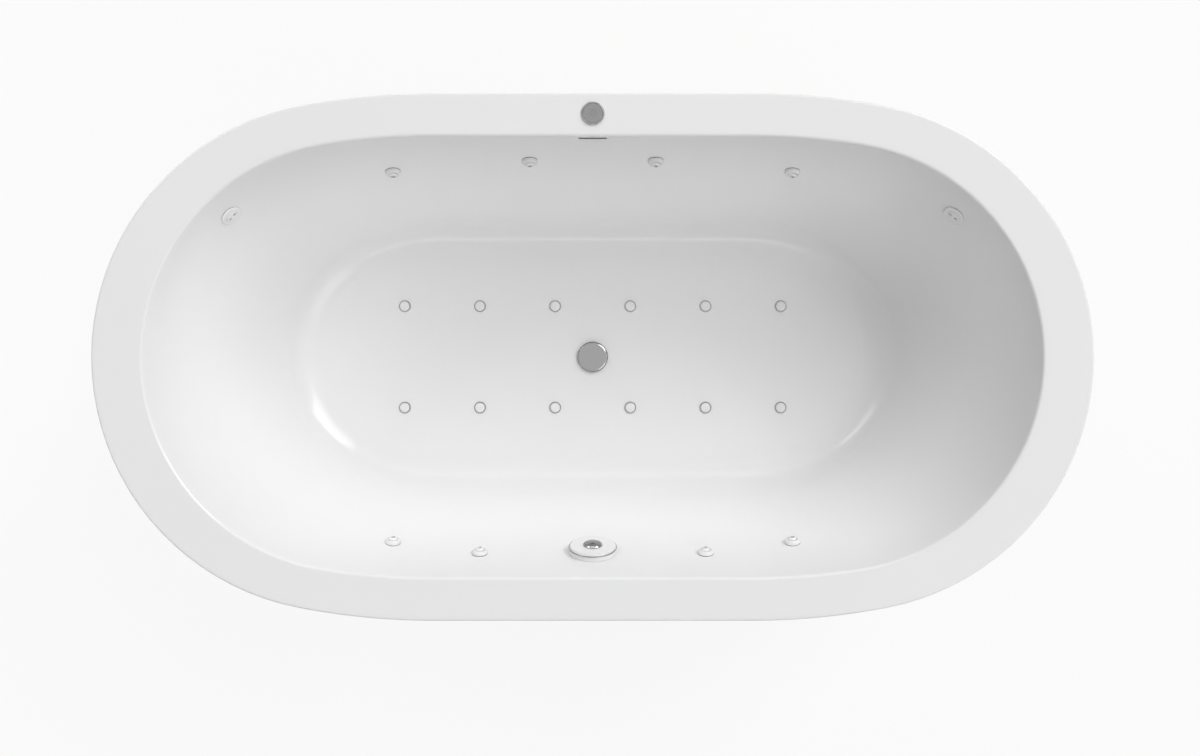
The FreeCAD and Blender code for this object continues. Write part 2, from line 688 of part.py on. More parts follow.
def support_frame():
    """Long rails, cross rails, posts and machine trays, welded where they meet."""
    rail_bottom = f"({FLOOR}-backed-board_thickness-rail)"
    members = []
    for side, word in ((BACK, "back"), (FRONT, "front")):
        low = ["-rail_half_length", f"{side}*rail_offset-rail/2", rail_bottom]
        rail = square_tube(f"{word}_rail", low, ["2*rail_half_length", "rail", "rail"], 0)
        holes = [cylinder(f"{word}_foot_hole_{index}", "foot_stud_radius+0.5", "rail_wall",
                          (f"{sign}*foot_x", f"{side}*rail_offset", rail_bottom))
                 for index, sign in enumerate((-1, 1))]
        members.append(cut(f"{word}_rail_bored", rail, grouped(f"{word}_foot_holes", holes)))
    for sign, word in ((-1, "left"), (1, "right")):
        low = [f"{sign}*cross_rail_offset-rail/2", "-cross_rail_half_length", f"{rail_bottom}-rail"]
        size = ["rail", "2*cross_rail_half_length", "rail"]
        members.append(square_tube(f"{word}_cross_rail", low, size, 1))
        start = "tray_inner" if sign > 0 else "-rail_half_length"
        tray = box(f"{word}_tray_plate", [start, "-rail_offset-rail/2", f"{rail_bottom}+rail"],
                   ["rail_half_length-tray_inner", "2*rail_offset+rail", "tray_thickness"])
        holes = [cylinder(f"{word}_tray_hole_{index}", "screw_radius+0.1", "tray_thickness",
                          (str(across), str(along), f"{rail_bottom}+rail"))
                 for index, (across, along) in enumerate(screw_spots(sign))]
        members.append(cut(f"{word}_tray", tray, grouped(f"{word}_tray_holes", holes)))
        for side, place in ((BACK, "back"), (FRONT, "front")):
            low = [f"{sign}*cross_rail_offset-post/2", f"{side}*post_offset-post/2", rail_bottom]
            tall = f"rim_height-rim_plate-batten_height-{rail_bottom}"
            members.append(square_tube(f"{place}_{word}_post", low, ["post", "post", tall], 2))
    return node("support_frame", grouped("support_frame", members))


def screw_spots(sign):
    """Where the machine screws of one tray stand: the pump's on the right, the blower's on the left."""
    if sign > 0:
        return [(value("pump_x") + across, along) for across in (-44, 44) for along in (12, 84)]
    middle = -value("blower_x")
    reach = value("(blower_radius+blower_flange)/2") * math.sqrt(0.5)
    return [(middle + across * reach, along * reach) for across in (-1, 1) for along in (-1, 1)]


def rim_battens():
    """Four wooden battens bonded under the deck's long sides."""
    battens = []
    for sign, word in ((-1, "left"), (1, "right")):
        start = "batten_inner" if sign > 0 else "-batten_inner-batten_length"
        for side, place in ((BACK, "back"), (FRONT, "front")):
            low = [start, f"{side}*batten_offset-batten_width/2", "rim_height-rim_plate-batten_height"]
            size = ["batten_length", "batten_width", "batten_height"]
            battens.append(box(f"{place}_{word}_batten", low, size))
    return node("rim_battens", grouped("rim_battens", battens))


def feet():
    """Four levelling feet and the lock nuts under the rails."""
    master = turned("foot_master", [("0", "0"), ("foot_pad_radius", "0"), ("foot_pad_radius", "6"),
                                    ("0.8*foot_pad_radius", "9.5"), ("foot_stud_radius+3", "12"),
                                    ("foot_stud_radius", "12"), ("foot_stud_radius", "foot_stud_top"),
                                    ("0", "foot_stud_top")])
    bottom = f"({FLOOR}-backed-board_thickness-rail)"
    nut = hexagon_nut("lock_nut_master", "19", "foot_stud_radius+thread_clearance",
                      f"{bottom}-lock_nut_height", "lock_nut_height")
    spots = [Placement(Vector(sign * value("foot_x"), side * value("rail_offset"), 0), Rotation())
             for side in (BACK, FRONT) for sign in (-1, 1)]
    for index, spot in enumerate(spots, start=1):
        node(f"foot_{index}", copies(f"foot_{index}", master, [spot]))
    node("foot_lock_nuts", copies("foot_lock_nuts", nut, spots))


# ---------------------------------------------------------------- waste and overflow

def waste_pieces():
    """Drain flange, domed pop-up plug, its seal, the waste body and the trap."""
    top = f"({FLOOR}+drain_flange_top)"
    node("drain_flange", turned("drain_flange", [
        ("drain_throat_bore", f"{FLOOR}-drain_throat_depth"), ("drain_throat", f"{FLOOR}-drain_throat_depth"),
        ("drain_throat", f"{FLOOR}"), ("drain_radius+0.4", f"{FLOOR}"),
        ("drain_radius-0.4", top), ("drain_throat_bore", top)]))
    seal_low = f"({top}+0.02)"
    node("plug_seal", turned("plug_seal", [
        ("drain_throat_bore-1.5", seal_low), ("drain_throat+3", seal_low),
        ("drain_throat+3", f"{seal_low}+seal_height"), ("drain_throat_bore-1.5", f"{seal_low}+seal_height")]))
    under = f"({seal_low}+seal_height)"
    node("drain_plug", turned("drain_plug", [
        ("0", "plug_stem_bottom"), ("plug_stem", "plug_stem_bottom"), ("plug_stem", under),
        ("drain_radius-0.4", under), ("drain_radius", f"{under}+0.8"),
        ("drain_radius", f"{under}+0.45*plug_height"), ("0.95*drain_radius", f"{under}+0.75*plug_height"),
        ("0.65*drain_radius", f"{under}+0.93*plug_height"),
        ("0", f"{under}+plug_height")]))
    bore = "drain_throat+0.4"
    hanger = f"({FLOOR}-backed-hardware_gap)"
    barrel = turned("waste_barrel", [
        (bore, hanger), ("board_waste_hole-6", hanger), ("board_waste_hole-6", f"{hanger}-5"),
        ("drain_throat+4", f"{hanger}-5"), ("drain_throat+4", "68"), ("waste_pipe+1", "64"),
        ("waste_pipe+1", "55"), ("waste_pipe_bore+0.5", "55"), ("waste_pipe_bore+0.5", "65.5"),
        (bore, "70.5")])
    bar = box("stem_guide_bar", ["-drain_throat-2", "-3", "stem_guide-4"],
              ["2*drain_throat+4", "6", "4"])
    boss = cylinder("stem_guide_boss", "plug_stem+3.5", "4", ("0", "0", "stem_guide-4"))
    inlet = cylinder("waste_inlet", "overflow_pipe_outer+1", "24", ("0", "26", "waste_port_level"),
                     Vector(0, 1, 0))
    bores = grouped("waste_bores", [
        cylinder("stem_hole", "plug_stem+0.25", "10", ("0", "0", "stem_guide-6")),
        cylinder("waste_inlet_bore", "overflow_pipe_bore", "46", ("0", "5", "waste_port_level"),
                 Vector(0, 1, 0))])
    node("waste_body", cut("waste_body", fused("waste_body_whole", [barrel, bar, boss, inlet]), bores))
    cup = turned("trap_cup", [
        ("waste_pipe+1.3", "62"), ("waste_pipe+5.5", "62"), ("waste_pipe+5.5", "57"), ("42", "54"),
        ("42", "5"), ("0", "5"), ("0", "8"), ("39", "8"), ("39", "51"), ("waste_pipe+1.3", "53")])
    root = ("0", "-waste_pipe_start", "waste_pipe_level")
    outlet = cylinder("trap_outlet", "waste_pipe", "waste_pipe_end-waste_pipe_start", root,
                      Vector(0, -1, 0))
    collar = cylinder("trap_collar", "waste_collar", "waste_collar_end-waste_pipe_start", root,
                      Vector(0, -1, 0))
    outlet_bore = cylinder("trap_outlet_bore", "waste_pipe_bore", "waste_pipe_end-waste_pipe_start+10",
                           ("0", "10-waste_pipe_start", "waste_pipe_level"), Vector(0, -1, 0))
    node("waste_trap", cut("waste_trap", fused("trap_whole", [cup, outlet, collar]), outlet_bore))


def overflow_pieces(backing):
    """The duct behind the slot and the pipe that drops from it to the waste body."""
    reach = "(duct_back-well_half_width+16)"
    tall = "(rim_height-rim_plate-hardware_gap-duct_bottom)"
    case = box("duct_case", ["-duct_half_width", f"duct_back-{reach}", "duct_bottom"],
               ["2*duct_half_width", reach, tall])
    spigot = cylinder("duct_spigot", "overflow_pipe_outer", "15", ("0", "overflow_pipe_y", "duct_bottom-15"))
    hollow = box("duct_hollow",
                 ["duct_wall-duct_half_width", f"duct_back-{reach}-1", "duct_bottom+duct_wall"],
                 ["2*duct_half_width-2*duct_wall", f"{reach}+1-duct_wall", f"{tall}-2*duct_wall"])
    bore = cylinder("duct_bore", "overflow_pipe_bore", "25", ("0", "overflow_pipe_y", "duct_bottom-16"))
    tools = grouped("duct_tools", [backing, hollow, bore])
    node("overflow_duct", cut("overflow_duct", fused("duct_whole", [case, spigot]), tools))
    start = value("overflow_pipe_y")
    low = value("waste_port_level")
    route = rounded_route([(0, start, value("duct_bottom-15")), (0, start, 490), (0, start + 23, 430),
                           (0, start + 23, 130), (0, 400, low), (0, 50, low)], 30)
    node("overflow_pipe", pipe("overflow_pipe", route, "overflow_pipe_outer", "overflow_pipe_bore"))


# ---------------------------------------------------------------- water jets

def jet_pieces(shell):
    """Swivelling side nozzles, turning end rotors, and what holds them behind the wall."""
    ball = DOC.addObject("Part::Sphere", "nozzle_ball")
    ball.setExpression("Radius", bound("jet_ball"))
    ball.Angle1 = -50
    ball.Angle2 = 61
    way = cylinder("nozzle_way", "jet_ball_bore", "4*jet_ball", ("0", "0", "-2*jet_ball"))
    nozzle = cut("nozzle_master", ball, way)
    seat = DOC.addObject("Part::Sphere", "socket_seat")
    seat.setExpression("Radius", bound("jet_ball+jet_ball_gap"))
    seat.setExpression("Placement.Base.z", bound("jet_ball_centre"))
    socket = turned("socket_turned", [
        ("8.5", "-jet_tail_depth"), ("jet_tail", "-jet_tail_depth"), ("jet_tail", "1"), ("jet_ring", "1"),
        ("jet_ring", "3.5"), ("jet_tail+0.1", "7.6"), ("8.5", "7.6")])
    socket = cut("socket_master", socket, seat)
    lift = Placement(Vector(0, 0, value("jet_ball_centre")), Rotation())
    for index, place in enumerate(SIDE_JETS, start=1):
        node(f"side_nozzle_{index}", copies(f"side_nozzle_{index}", nozzle, [place.multiply(lift)]))
    node("side_jet_sockets", copies("side_jet_sockets", socket, SIDE_JETS))

    end_socket = turned("end_socket_master", [
        ("9.5", "-jet_tail_depth"), ("jet_tail", "-jet_tail_depth"), ("jet_tail", "1.2"),
        ("end_jet_ring", "1.2"), ("end_jet_ring", "2.6"), ("end_jet_ring-1.5", "4.2"),
        ("rotor_radius+0.3", "4.2"), ("rotor_radius+0.3", "-12"), ("9.5", "-12")])
    rotor_turned = turned("rotor_turned", [
        ("0", "-11.7"), ("rotor_radius-1", "-11.7"), ("rotor_radius", "-10"), ("rotor_radius", "4.4"),
        ("rotor_radius-1.5", "5.2"), ("0", "5.2")])
    ways = [cylinder(f"rotor_way_{index}", "2.4", "30", (str(sign * 6), str(sign * -3), "-15"),
                     Vector(0, sign * 0.2, 1)) for index, sign in enumerate((-1, 1))]
    rotor = cut("rotor_master", rotor_turned, grouped("rotor_ways", ways))
    for index, place in enumerate(END_JETS, start=1):
        node(f"end_rotor_{index}", copies(f"end_rotor_{index}", rotor, [place]))
    node("end_jet_sockets", copies("end_jet_sockets", end_socket, END_JETS))

    side_ring = tube_body("side_gasket_ring", "jet_ring", "jet_tail+0.4", "-1", "1")
    end_ring = tube_body("end_gasket_ring", "end_jet_ring-0.5", "jet_tail+0.4", "-1.5", "1.2")
    rings = grouped("gasket_rings", [copies("side_gaskets", side_ring, SIDE_JETS),
                                     copies("end_gaskets", end_ring, END_JETS)])
    node("jet_gaskets", cut("jet_gaskets", rings, shell))

    everywhere = SIDE_JETS + END_JETS
    nut = hexagon_nut("jet_nut_master", "jet_nut_flats", "jet_tail+hardware_gap",
                      "-backed_run-jet_nut_gap-jet_nut_height", "jet_nut_height")
    node("jet_nuts", copies("jet_nuts", nut, everywhere))
    cup = turned("housing_cup", [
        ("jet_tail+hardware_gap", "-16"), ("jet_housing", "-16"), ("jet_housing", "6-jet_housing_end"),
        ("jet_housing-5", "-jet_housing_end"), ("0", "-jet_housing_end"), ("0", "3-jet_housing_end"),
        ("jet_housing-6.5", "3-jet_housing_end"), ("jet_tail+hardware_gap", "8-jet_housing_end")])
    port = cylinder("housing_port", "jet_port", "jet_port_reach-15", ("0", "-15", "-jet_port_depth"),
                    Vector(0, -1, 0))
    port_bore = cylinder("housing_port_bore", "jet_port_bore", "jet_port_reach-5",
                         ("0", "-6", "-jet_port_depth"), Vector(0, -1, 0))
    housing = cut("housing_master", fused("housing_whole", [cup, port]), port_bore)
    node("jet_housings", copies("jet_housings", housing, everywhere))


def water_ring_main():
    """The pipe loop round the well that feeds every water jet, with its branches."""
    level = value("ring_main_level")
    share = (value("rim_height") - level) / value("well_depth")
    section = well_oval(share, "ring_main_offset")
    loop = [curve.toShape() for curve in oval_curves(section, level)]
    wall = [rod_along(loop, value("ring_main_outer"))]
    bore = [rod_along(loop, value("ring_main_bore"))]
    for place in SIDE_JETS + END_JETS:
        start = place.multVec(Vector(0, -value("jet_port_reach"), -value("jet_port_depth")))
        heading = place.Rotation.multVec(Vector(0, -1, 0))
        length = (start.z - level) / -heading.z
        wall.append(Part.makeCylinder(value("jet_port"), length, start, heading))
        bore.append(Part.makeCylinder(value("jet_port_bore"), length, start, heading))
    feed_bottom = value("pump_level+75")
    feed_base = Vector(value("pump_x"), -value("volute_outlet_y"), feed_bottom)
    wall.append(Part.makeCylinder(value("ring_main_outer"), level - feed_bottom, feed_base))
    bore.append(Part.makeCylinder(value("ring_main_bore"), level - feed_bottom, feed_base))
    outer = wall[0].multiFuse(wall[1:])
    inner = bore[0].multiFuse(bore[1:])
    node("water_ring_main", feature("water_ring_main", outer.cut(inner).removeSplitter()))


# ---------------------------------------------------------------- air jets

def air_pieces():
    """Twelve floor air jets with their check balls, the manifold under them and the riser loop."""
    spots = air_jet_spots()
    places = [Placement(Vector(across, along, 0), Rotation(UP, 0 if along < 0 else 180))
              for across, along in spots]
    low = f"({FLOOR}+3)"
    cap = turned("air_cap_master", [
        ("0", f"{FLOOR}-11"), ("3.2", f"{FLOOR}-11"), ("3.2", low), ("air_jet_cap", low),
        ("air_jet_cap", f"{low}+1.2"), ("air_jet_cap-2", f"{low}+3"), ("0", f"{low}+3.6")])
    node("air_jet_caps", copies("air_jet_caps", cap, places))
    flange = f"({FLOOR}+0.05)"
    tail = turned("air_body_turned", [
        ("0", "air_jet_bottom"), ("air_jet_tail", "air_jet_bottom"), ("air_jet_tail", flange),
        ("air_jet_flange", flange), ("air_jet_flange", f"{flange}+1.2"),
        ("air_jet_flange-0.6", f"{flange}+1.7"), ("air_jet_bore", f"{flange}+1.7"),
        ("air_jet_bore", "air_jet_seat"), ("valve_hole", "air_jet_seat"),
        ("valve_hole", "air_jet_seat-2"), ("air_jet_bore", "air_jet_seat-2"),
        ("air_jet_bore", "air_jet_bottom+3"), ("0", "air_jet_bottom+3")])
    bar = box("air_cap_bar", ["-air_jet_bore-1", "-2", f"{FLOOR}-14"], ["2*air_jet_bore+2", "4", "3"])
    port = cylinder("air_port", "air_jet_bore", "air_port_reach-9", ("0", "9", "air_port_level"),
                    Vector(0, 1, 0))
    port_bore = cylinder("air_port_bore", "valve_hole", "air_port_reach", ("0", "2", "air_port_level"),
                         Vector(0, 1, 0))
    body = cut("air_body_master", fused("air_body_whole", [tail, bar, port]), port_bore)
    node("air_jet_bodies", copies("air_jet_bodies", body, places))
    nut = hexagon_nut("air_nut_master", "30", "air_jet_tail+hardware_gap", f"{FLOOR}-backed-0.1-7", "7")
    node("air_jet_nuts", copies("air_jet_nuts", nut, places))
    ball = DOC.addObject("Part::Sphere", "check_ball")
    ball.setExpression("Radius", bound("valve_ball"))
    rest = math.sqrt(value("valve_ball") ** 2 - value("valve_hole") ** 2) + value("air_jet_seat") + 0.01
    seats = [Placement(Vector(across, along, rest), Rotation()) for across, along in spots]
    node("air_check_balls", copies("air_check_balls", ball, seats))

    level = value("air_port_level")
    start, stop, offset = value("-manifold_start"), value("manifold_stop"), value("manifold_offset")
    walls, bores = [], []
    for side in (BACK, FRONT):
        base = Vector(start, side * offset, level)
        walls.append(Part.makeCylinder(value("manifold_outer"), stop - start, base, Vector(1, 0, 0)))
        bores.append(Part.makeCylinder(value("manifold_bore"), stop - start - 3, base, Vector(1, 0, 0)))
    link = Vector(start + 15, -offset, level)
    walls.append(Part.makeCylinder(value("manifold_outer-1"), 2 * offset, link, Vector(0, 1, 0)))
    bores.append(Part.makeCylinder(value("manifold_bore-1"), 2 * offset, link, Vector(0, 1, 0)))
    stopper = Vector(start - 3, -offset, level)
    walls.append(Part.makeCylinder(value("manifold_bore+1"), 3, stopper, Vector(1, 0, 0)))
    branch = value("air_jet_row-air_port_reach") - offset
    for across, along in spots:
        side = BACK if along > 0 else FRONT
        base = Vector(across, side * offset, level)
        walls.append(Part.makeCylinder(value("manifold_branch"), branch, base, Vector(0, side, 0)))
        bores.append(Part.makeCylinder(value("valve_hole"), branch, base, Vector(0, side, 0)))
    manifold = walls[0].multiFuse(walls[1:]).cut(bores[0].multiFuse(bores[1:]))
    node("air_manifold", feature("air_manifold", manifold.removeSplitter()))

    outlet = -value("blower_x+blower_radius+7")
    port_level = value("blower_port_level")
    route = rounded_route([(outlet, 0, port_level), (-914, 0, port_level), (-914, 0, 535),
                           (-910, offset, 535), (-910, offset, level), (start, offset, level)], 30)
    node("air_riser", pipe("air_riser", route, "manifold_outer", "manifold_bore"))


# ---------------------------------------------------------------- suction

def suction_pieces():
    """The suction cover with slots in its lower half, its trim, the fitting behind it and the pipe to the pump."""
    cover = turned("suction_cover", [
        ("0", "suction_proud-3.5"), ("suction_radius-3.5", "suction_proud-3.5"),
        ("suction_radius-3.5", "suction_flange"), ("suction_radius", "suction_flange"),
        ("suction_radius", "suction_proud-2.5"), ("suction_radius-2.5", "suction_proud"),
        ("0", "suction_proud")])
    slot = new_sketch(cover, "suction_slot", "XZ_Plane")
    draw_outline(slot, [("-2.5", "suction_flange-1"), ("2.5", "suction_flange-1"), ("2.5", "9"),
                        ("-2.5", "9")])
    pocket = cover.newObject("PartDesign::Pocket", "suction_slots")
    pocket.Profile = slot
    pocket.Length = 100
    pocket.Reversed = True
    for word, backwards in (("left", False), ("right", True)):
        around = cover.newObject("PartDesign::PolarPattern", f"suction_slots_{word}")
        around.Originals = [pocket]
        around.Axis = (slot, ["V_Axis"])
        around.Angle = 75
        around.Occurrences = 6
        around.Reversed = backwards
        cover.Tip = around
        DOC.recompute()
    node("suction_cover", cover).Placement = SUCTION
    trim = tube_body("suction_trim_ring", "suction_radius+1.4", "suction_radius+0.02", "suction_proud-5.5",
                     "suction_proud-3")
    node("suction_trim_ring", trim).Placement = SUCTION
    cap = turned("suction_centre_cap", [
        ("0", "suction_proud+0.01"), ("suction_cap", "suction_proud+0.01"),
        ("suction_cap", "suction_proud+2"), ("0.87*suction_cap", "suction_proud+4.5"),
        ("0.5*suction_cap", "suction_proud+6"), ("0", "suction_proud+6.6")])
    node("suction_centre_cap", cap).Placement = SUCTION
    body = turned("suction_body", [
        ("suction_pipe_bore", "-suction_tail"), ("suction_pipe_outer", "-suction_tail"),
        ("suction_pipe_outer", "suction_lift"), ("suction_radius-0.2", "suction_lift"),
        ("suction_radius-0.2", "suction_flange"), ("suction_pipe_bore", "suction_flange")])
    node("suction_body", body).Placement = SUCTION
    start = SUCTION.multVec(Vector(0, 0, -value("suction_tail")))
    bend = SUCTION.multVec(Vector(0, 0, -value("suction_tail") - 25))
    eye = value("pump_level")
    mouth = -value("volute_outlet_y") - 60
    route = rounded_route([tuple(start), tuple(bend), (0, bend.y, 190), (110, -400, 150), (560, -400, 150),
                           (value("pump_x"), -290, eye), (value("pump_x"), mouth, eye)], 30)
    node("suction_pipe", pipe("suction_pipe", route, "suction_pipe_outer", "suction_pipe_bore"))


# ---------------------------------------------------------------- pump and blower

def fan_wheel(name, hub, bore, tip, low, high, blades, plate):
    """A wheel with straight blades on a disc: expressions for radii and heights."""
    body = turned(name, [(bore, low), (tip, low), (tip, f"{low}+{plate}"), (hub, f"{low}+{plate}"),
                         (hub, high), (bore, high)])
    outline = new_sketch(body, f"{name}_blade", "XY_Plane", low)
    draw_outline(outline, [(f"{hub}-1", "-1.2"), (tip, "-1.2"), (tip, "1.2"), (f"{hub}-1", "1.2")])
    pad = body.newObject("PartDesign::Pad", f"{name}_blade_pad")
    pad.Profile = outline
    pad.setExpression("Length", bound(f"({high})-({low})"))
    around = body.newObject("PartDesign::PolarPattern", f"{name}_blades")
    around.Originals = [pad]
    around.Axis = (outline, ["N_Axis"])
    around.Angle = 360
    around.Occurrences = blades
    body.Tip = around
    return body


def pump_pieces():
    """The water pump: housing, impeller, shaft, motor, fan and fan cover, on an axis along Y."""
    place = Placement(Vector(value("pump_x"), 0, value("pump_level")), Rotation(Vector(1, 0, 0), -90))
    shell = turned("volute_turned", [
        ("suction_pipe_bore", "-115"), ("suction_pipe_outer", "-115"), ("suction_pipe_outer", "-90"),
        ("volute_radius", "-84"), ("volute_radius", "-20"), ("shaft_radius+0.2", "-20"),
        ("shaft_radius+0.2", "-26"), ("volute_radius-9", "-26"), ("volute_radius-9", "-80"),
        ("suction_pipe_bore", "-84")])
    shell.Placement = place
    outlet = cylinder("volute_outlet", "ring_main_outer", "35",
                      ("pump_x", "-volute_outlet_y", "pump_level+40"))
    outlet_bore = cylinder("volute_outlet_bore", "ring_main_bore", "50",
                           ("pump_x", "-volute_outlet_y", "pump_level+30"))
    cavity = cylinder("volute_cavity", "volute_radius-9", "54", ("pump_x", "-80", "pump_level"),
                      Vector(0, 1, 0))
    tools = grouped("volute_tools", [outlet_bore, cavity])
    node("pump_volute", cut("pump_volute", fused("volute_whole", [shell, outlet]), tools))
    wheel = fan_wheel("pump_impeller", "14", "shaft_radius", "impeller_radius", "-72", "-40", 6, "4")
    node("pump_impeller", wheel).Placement = place
    shaft = turned("pump_shaft", [("0", "-74"), ("shaft_radius", "-74"), ("shaft_radius", "127"),
                                  ("0", "127")])
    node("pump_shaft", shaft).Placement = place
    bearing = "shaft_radius+shaft_gap"
    casing = turned("motor_turned", [
        (bearing, "-19.9"), ("motor_radius", "-19.9"), ("motor_radius", "110"), (bearing, "110"),
        (bearing, "103"), ("motor_bore", "103"), ("motor_bore", "-13"), (bearing, "-13")])
    casing.Placement = place
    tray = f"({FLOOR}-backed-board_thickness+tray_thickness)"
    base = box("motor_base", ["pump_x-52", "0", tray], ["104", "96", "8"])
    saddle = box("motor_saddle", ["pump_x-30", "4", f"{tray}+7"], ["60", "88", "18"])
    holes = [cylinder(f"motor_base_hole_{index}", "screw_radius+0.1", "8", (str(across), str(along), tray))
             for index, (across, along) in enumerate(screw_spots(1))]
    hollow = cylinder("motor_hollow", "motor_bore", "110", ("pump_x", "-10", "pump_level"), Vector(0, 1, 0))
    tools = grouped("motor_tools", holes + [hollow])
    node("pump_motor", cut("pump_motor", fused("motor_whole", [casing, base, saddle]), tools))
    fan = fan_wheel("pump_fan", "14", "shaft_radius", "motor_radius-12", "113", "125", 8, "2.5")
    node("pump_fan", fan).Placement = place
    cover = turned("fan_cover_turned", [
        ("motor_radius", "110.02"), ("motor_radius", "135"), ("0", "135"), ("0", "132"),
        ("motor_radius-3", "132"), ("motor_radius-3", "110.02")])
    cover.Placement = place
    vents = []
    for ring, count in ((18, 6), (32, 12), (46, 18)):
        for step in range(count):
            turn = 2 * math.pi * step / count
            across = value("pump_x") + ring * math.cos(turn)
            height = value("pump_level") + ring * math.sin(turn)
            vents.append(Part.makeCylinder(4, 10, Vector(across, 128, height), Vector(0, 1, 0)))
    node("pump_fan_cover", cut("pump_fan_cover", cover, feature("fan_cover_vents", Part.makeCompound(vents))))


def blower_pieces():
    """The air blower: housing, lid and impeller, on an upright axis at the left-hand end."""
    place = Placement(Vector(-value("blower_x"), 0, 0), Rotation())
    tray = f"({FLOOR}-backed-board_thickness+tray_thickness)"
    case = turned("blower_case", [
        ("0", tray), ("blower_flange", tray), ("blower_flange", f"{tray}+4"), ("blower_radius", f"{tray}+4"),
        ("blower_radius", "blower_split"), ("blower_radius-3", "blower_split"),
        ("blower_radius-3", f"{tray}+4"), ("0", f"{tray}+4")])
    case.Placement = place
    outlet = cylinder("blower_outlet", "manifold_outer", "9",
                      ("-blower_x-blower_radius+2", "0", "blower_port_level"), Vector(-1, 0, 0))
    outlet_bore = cylinder("blower_outlet_bore", "manifold_bore", "14",
                           ("-blower_x-blower_radius+6", "0", "blower_port_level"), Vector(-1, 0, 0))
    holes = [cylinder(f"blower_hole_{index}", "screw_radius+0.1", "4", (str(across), str(along), tray))
             for index, (across, along) in enumerate(screw_spots(-1))]
    tools = grouped("blower_tools", holes + [outlet_bore])
    node("blower_housing", cut("blower_housing", fused("blower_whole", [case, outlet]), tools))
    bearing = "blower_shaft+shaft_gap"
    lid = turned("blower_lid_turned", [
        ("blower_radius", "blower_split+0.02"), ("blower_radius", "blower_top-10"),
        ("blower_radius-10", "blower_top"), ("0", "blower_top"), ("0", "blower_top-4"),
        (bearing, "blower_top-4"), (bearing, "blower_top-35"), ("22", "blower_top-35"),
        ("22", "blower_top-4"), ("blower_radius-12", "blower_top-4"),
        ("blower_radius-3", "blower_top-12"), ("blower_radius-3", "blower_split+0.02")])
    lid.Placement = place
    vents = []
    for step in range(16):
        slot = Part.makeBox(20, 5, 22, Vector(value("blower_radius") - 12, -2.5, value("blower_split") + 8))
        slot.Placement = Placement(Vector(), Rotation(UP, 360 * step / 16)).multiply(slot.Placement)
        vents.append(slot)
    vents_piece = feature("blower_vents", Part.makeCompound(vents))
    vents_piece.Placement = place
    node("blower_lid", cut("blower_lid", lid, vents_piece))
    wheel = fan_wheel("blower_wheel", "12", "blower_shaft", "blower_radius-9", "142", "180", 12, "3")
    spindle = turned("blower_spindle", [("0", "138"), ("blower_shaft", "138"),
                                        ("blower_shaft", "blower_top-8"), ("0", "blower_top-8")])
    whole = fused("blower_impeller", [wheel, spindle])
    node("blower_impeller", whole).Placement = place


def machine_screws():
    """The screws that hold the pump and the blower down on their trays."""
    tray = f"({FLOOR}-backed-board_thickness)"
    master = turned("screw_master", [
        ("0", "0"), ("screw_radius", "0"), ("screw_radius", "tray_thickness+8"),
        ("screw_head", "tray_thickness+8"), ("screw_head", "tray_thickness+11"),
        ("screw_head-2", "tray_thickness+12"), ("0", "tray_thickness+12")])
    short = turned("short_screw_master", [
        ("0", "0"), ("screw_radius", "0"), ("screw_radius", "tray_thickness+4"),
        ("screw_head", "tray_thickness+4"), ("screw_head", "tray_thickness+7"),
        ("screw_head-2", "tray_thickness+8"), ("0", "tray_thickness+8")])
    groups = []
    for sign, kind in ((1, master), (-1, short)):
        spots = [Placement(Vector(across, along, value(tray)), Rotation())
                 for across, along in screw_spots(sign)]
        groups.append(copies(f"{kind.Name}_set", kind, spots))
    node("machine_screws", grouped("machine_screws", groups))


# ---------------------------------------------------------------- button and control box

def button_pieces():
    """The air button in the deck: bezel, cap, return spring and air chamber."""
    place = Placement(Vector(0, value("button_y"), 0), Rotation())
    top = "(rim_height+button_proud)"
    bezel = turned("button_bezel_body", [
        ("button_well", top), ("button_tail", top), ("button_bezel", "rim_height+1.4"),
        ("button_bezel", "rim_height+0.02"), ("button_tail", "rim_height+0.02"),
        ("button_tail", "bezel_floor"), ("button_stem+0.3", "bezel_floor"),
        ("button_stem+0.3", "bezel_floor+3"), ("button_well", "bezel_floor+3")])
    node("button_bezel", bezel).Placement = place
    under = "(rim_height-0.8)"
    cap = turned("button_cap_body", [
        ("0", "bezel_floor-7"), ("button_stem", "bezel_floor-7"), ("button_stem", under),
        ("button_cap", under), ("button_cap", f"{top}-1"), ("button_cap-0.7", f"{top}-0.3"),
        ("0", f"{top}-0.3")])
    node("button_cap", cap).Placement = place
    spring = tube_body("button_spring_body", "10", "7.5", "bezel_floor+3.02", f"{under}-0.02")
    node("button_spring", spring).Placement = place
    cup = turned("chamber_cup", [
        ("15", "bezel_floor-0.02"), ("15", "chamber_bottom"), ("0", "chamber_bottom"),
        ("0", "chamber_bottom+3"), ("12", "chamber_bottom+3"), ("12", "bezel_floor-0.02")])
    cup.Placement = place
    nipple = cylinder("chamber_nipple", "3", "9", ("-13", "button_y", "chamber_bottom+10"), Vector(-1, 0, 0))
    nipple_bore = cylinder("chamber_nipple_bore", "1.6", "13", ("-10", "button_y", "chamber_bottom+10"),
                           Vector(-1, 0, 0))
    node("button_air_chamber", cut("button_air_chamber", fused("chamber_whole", [cup, nipple]), nipple_bore))


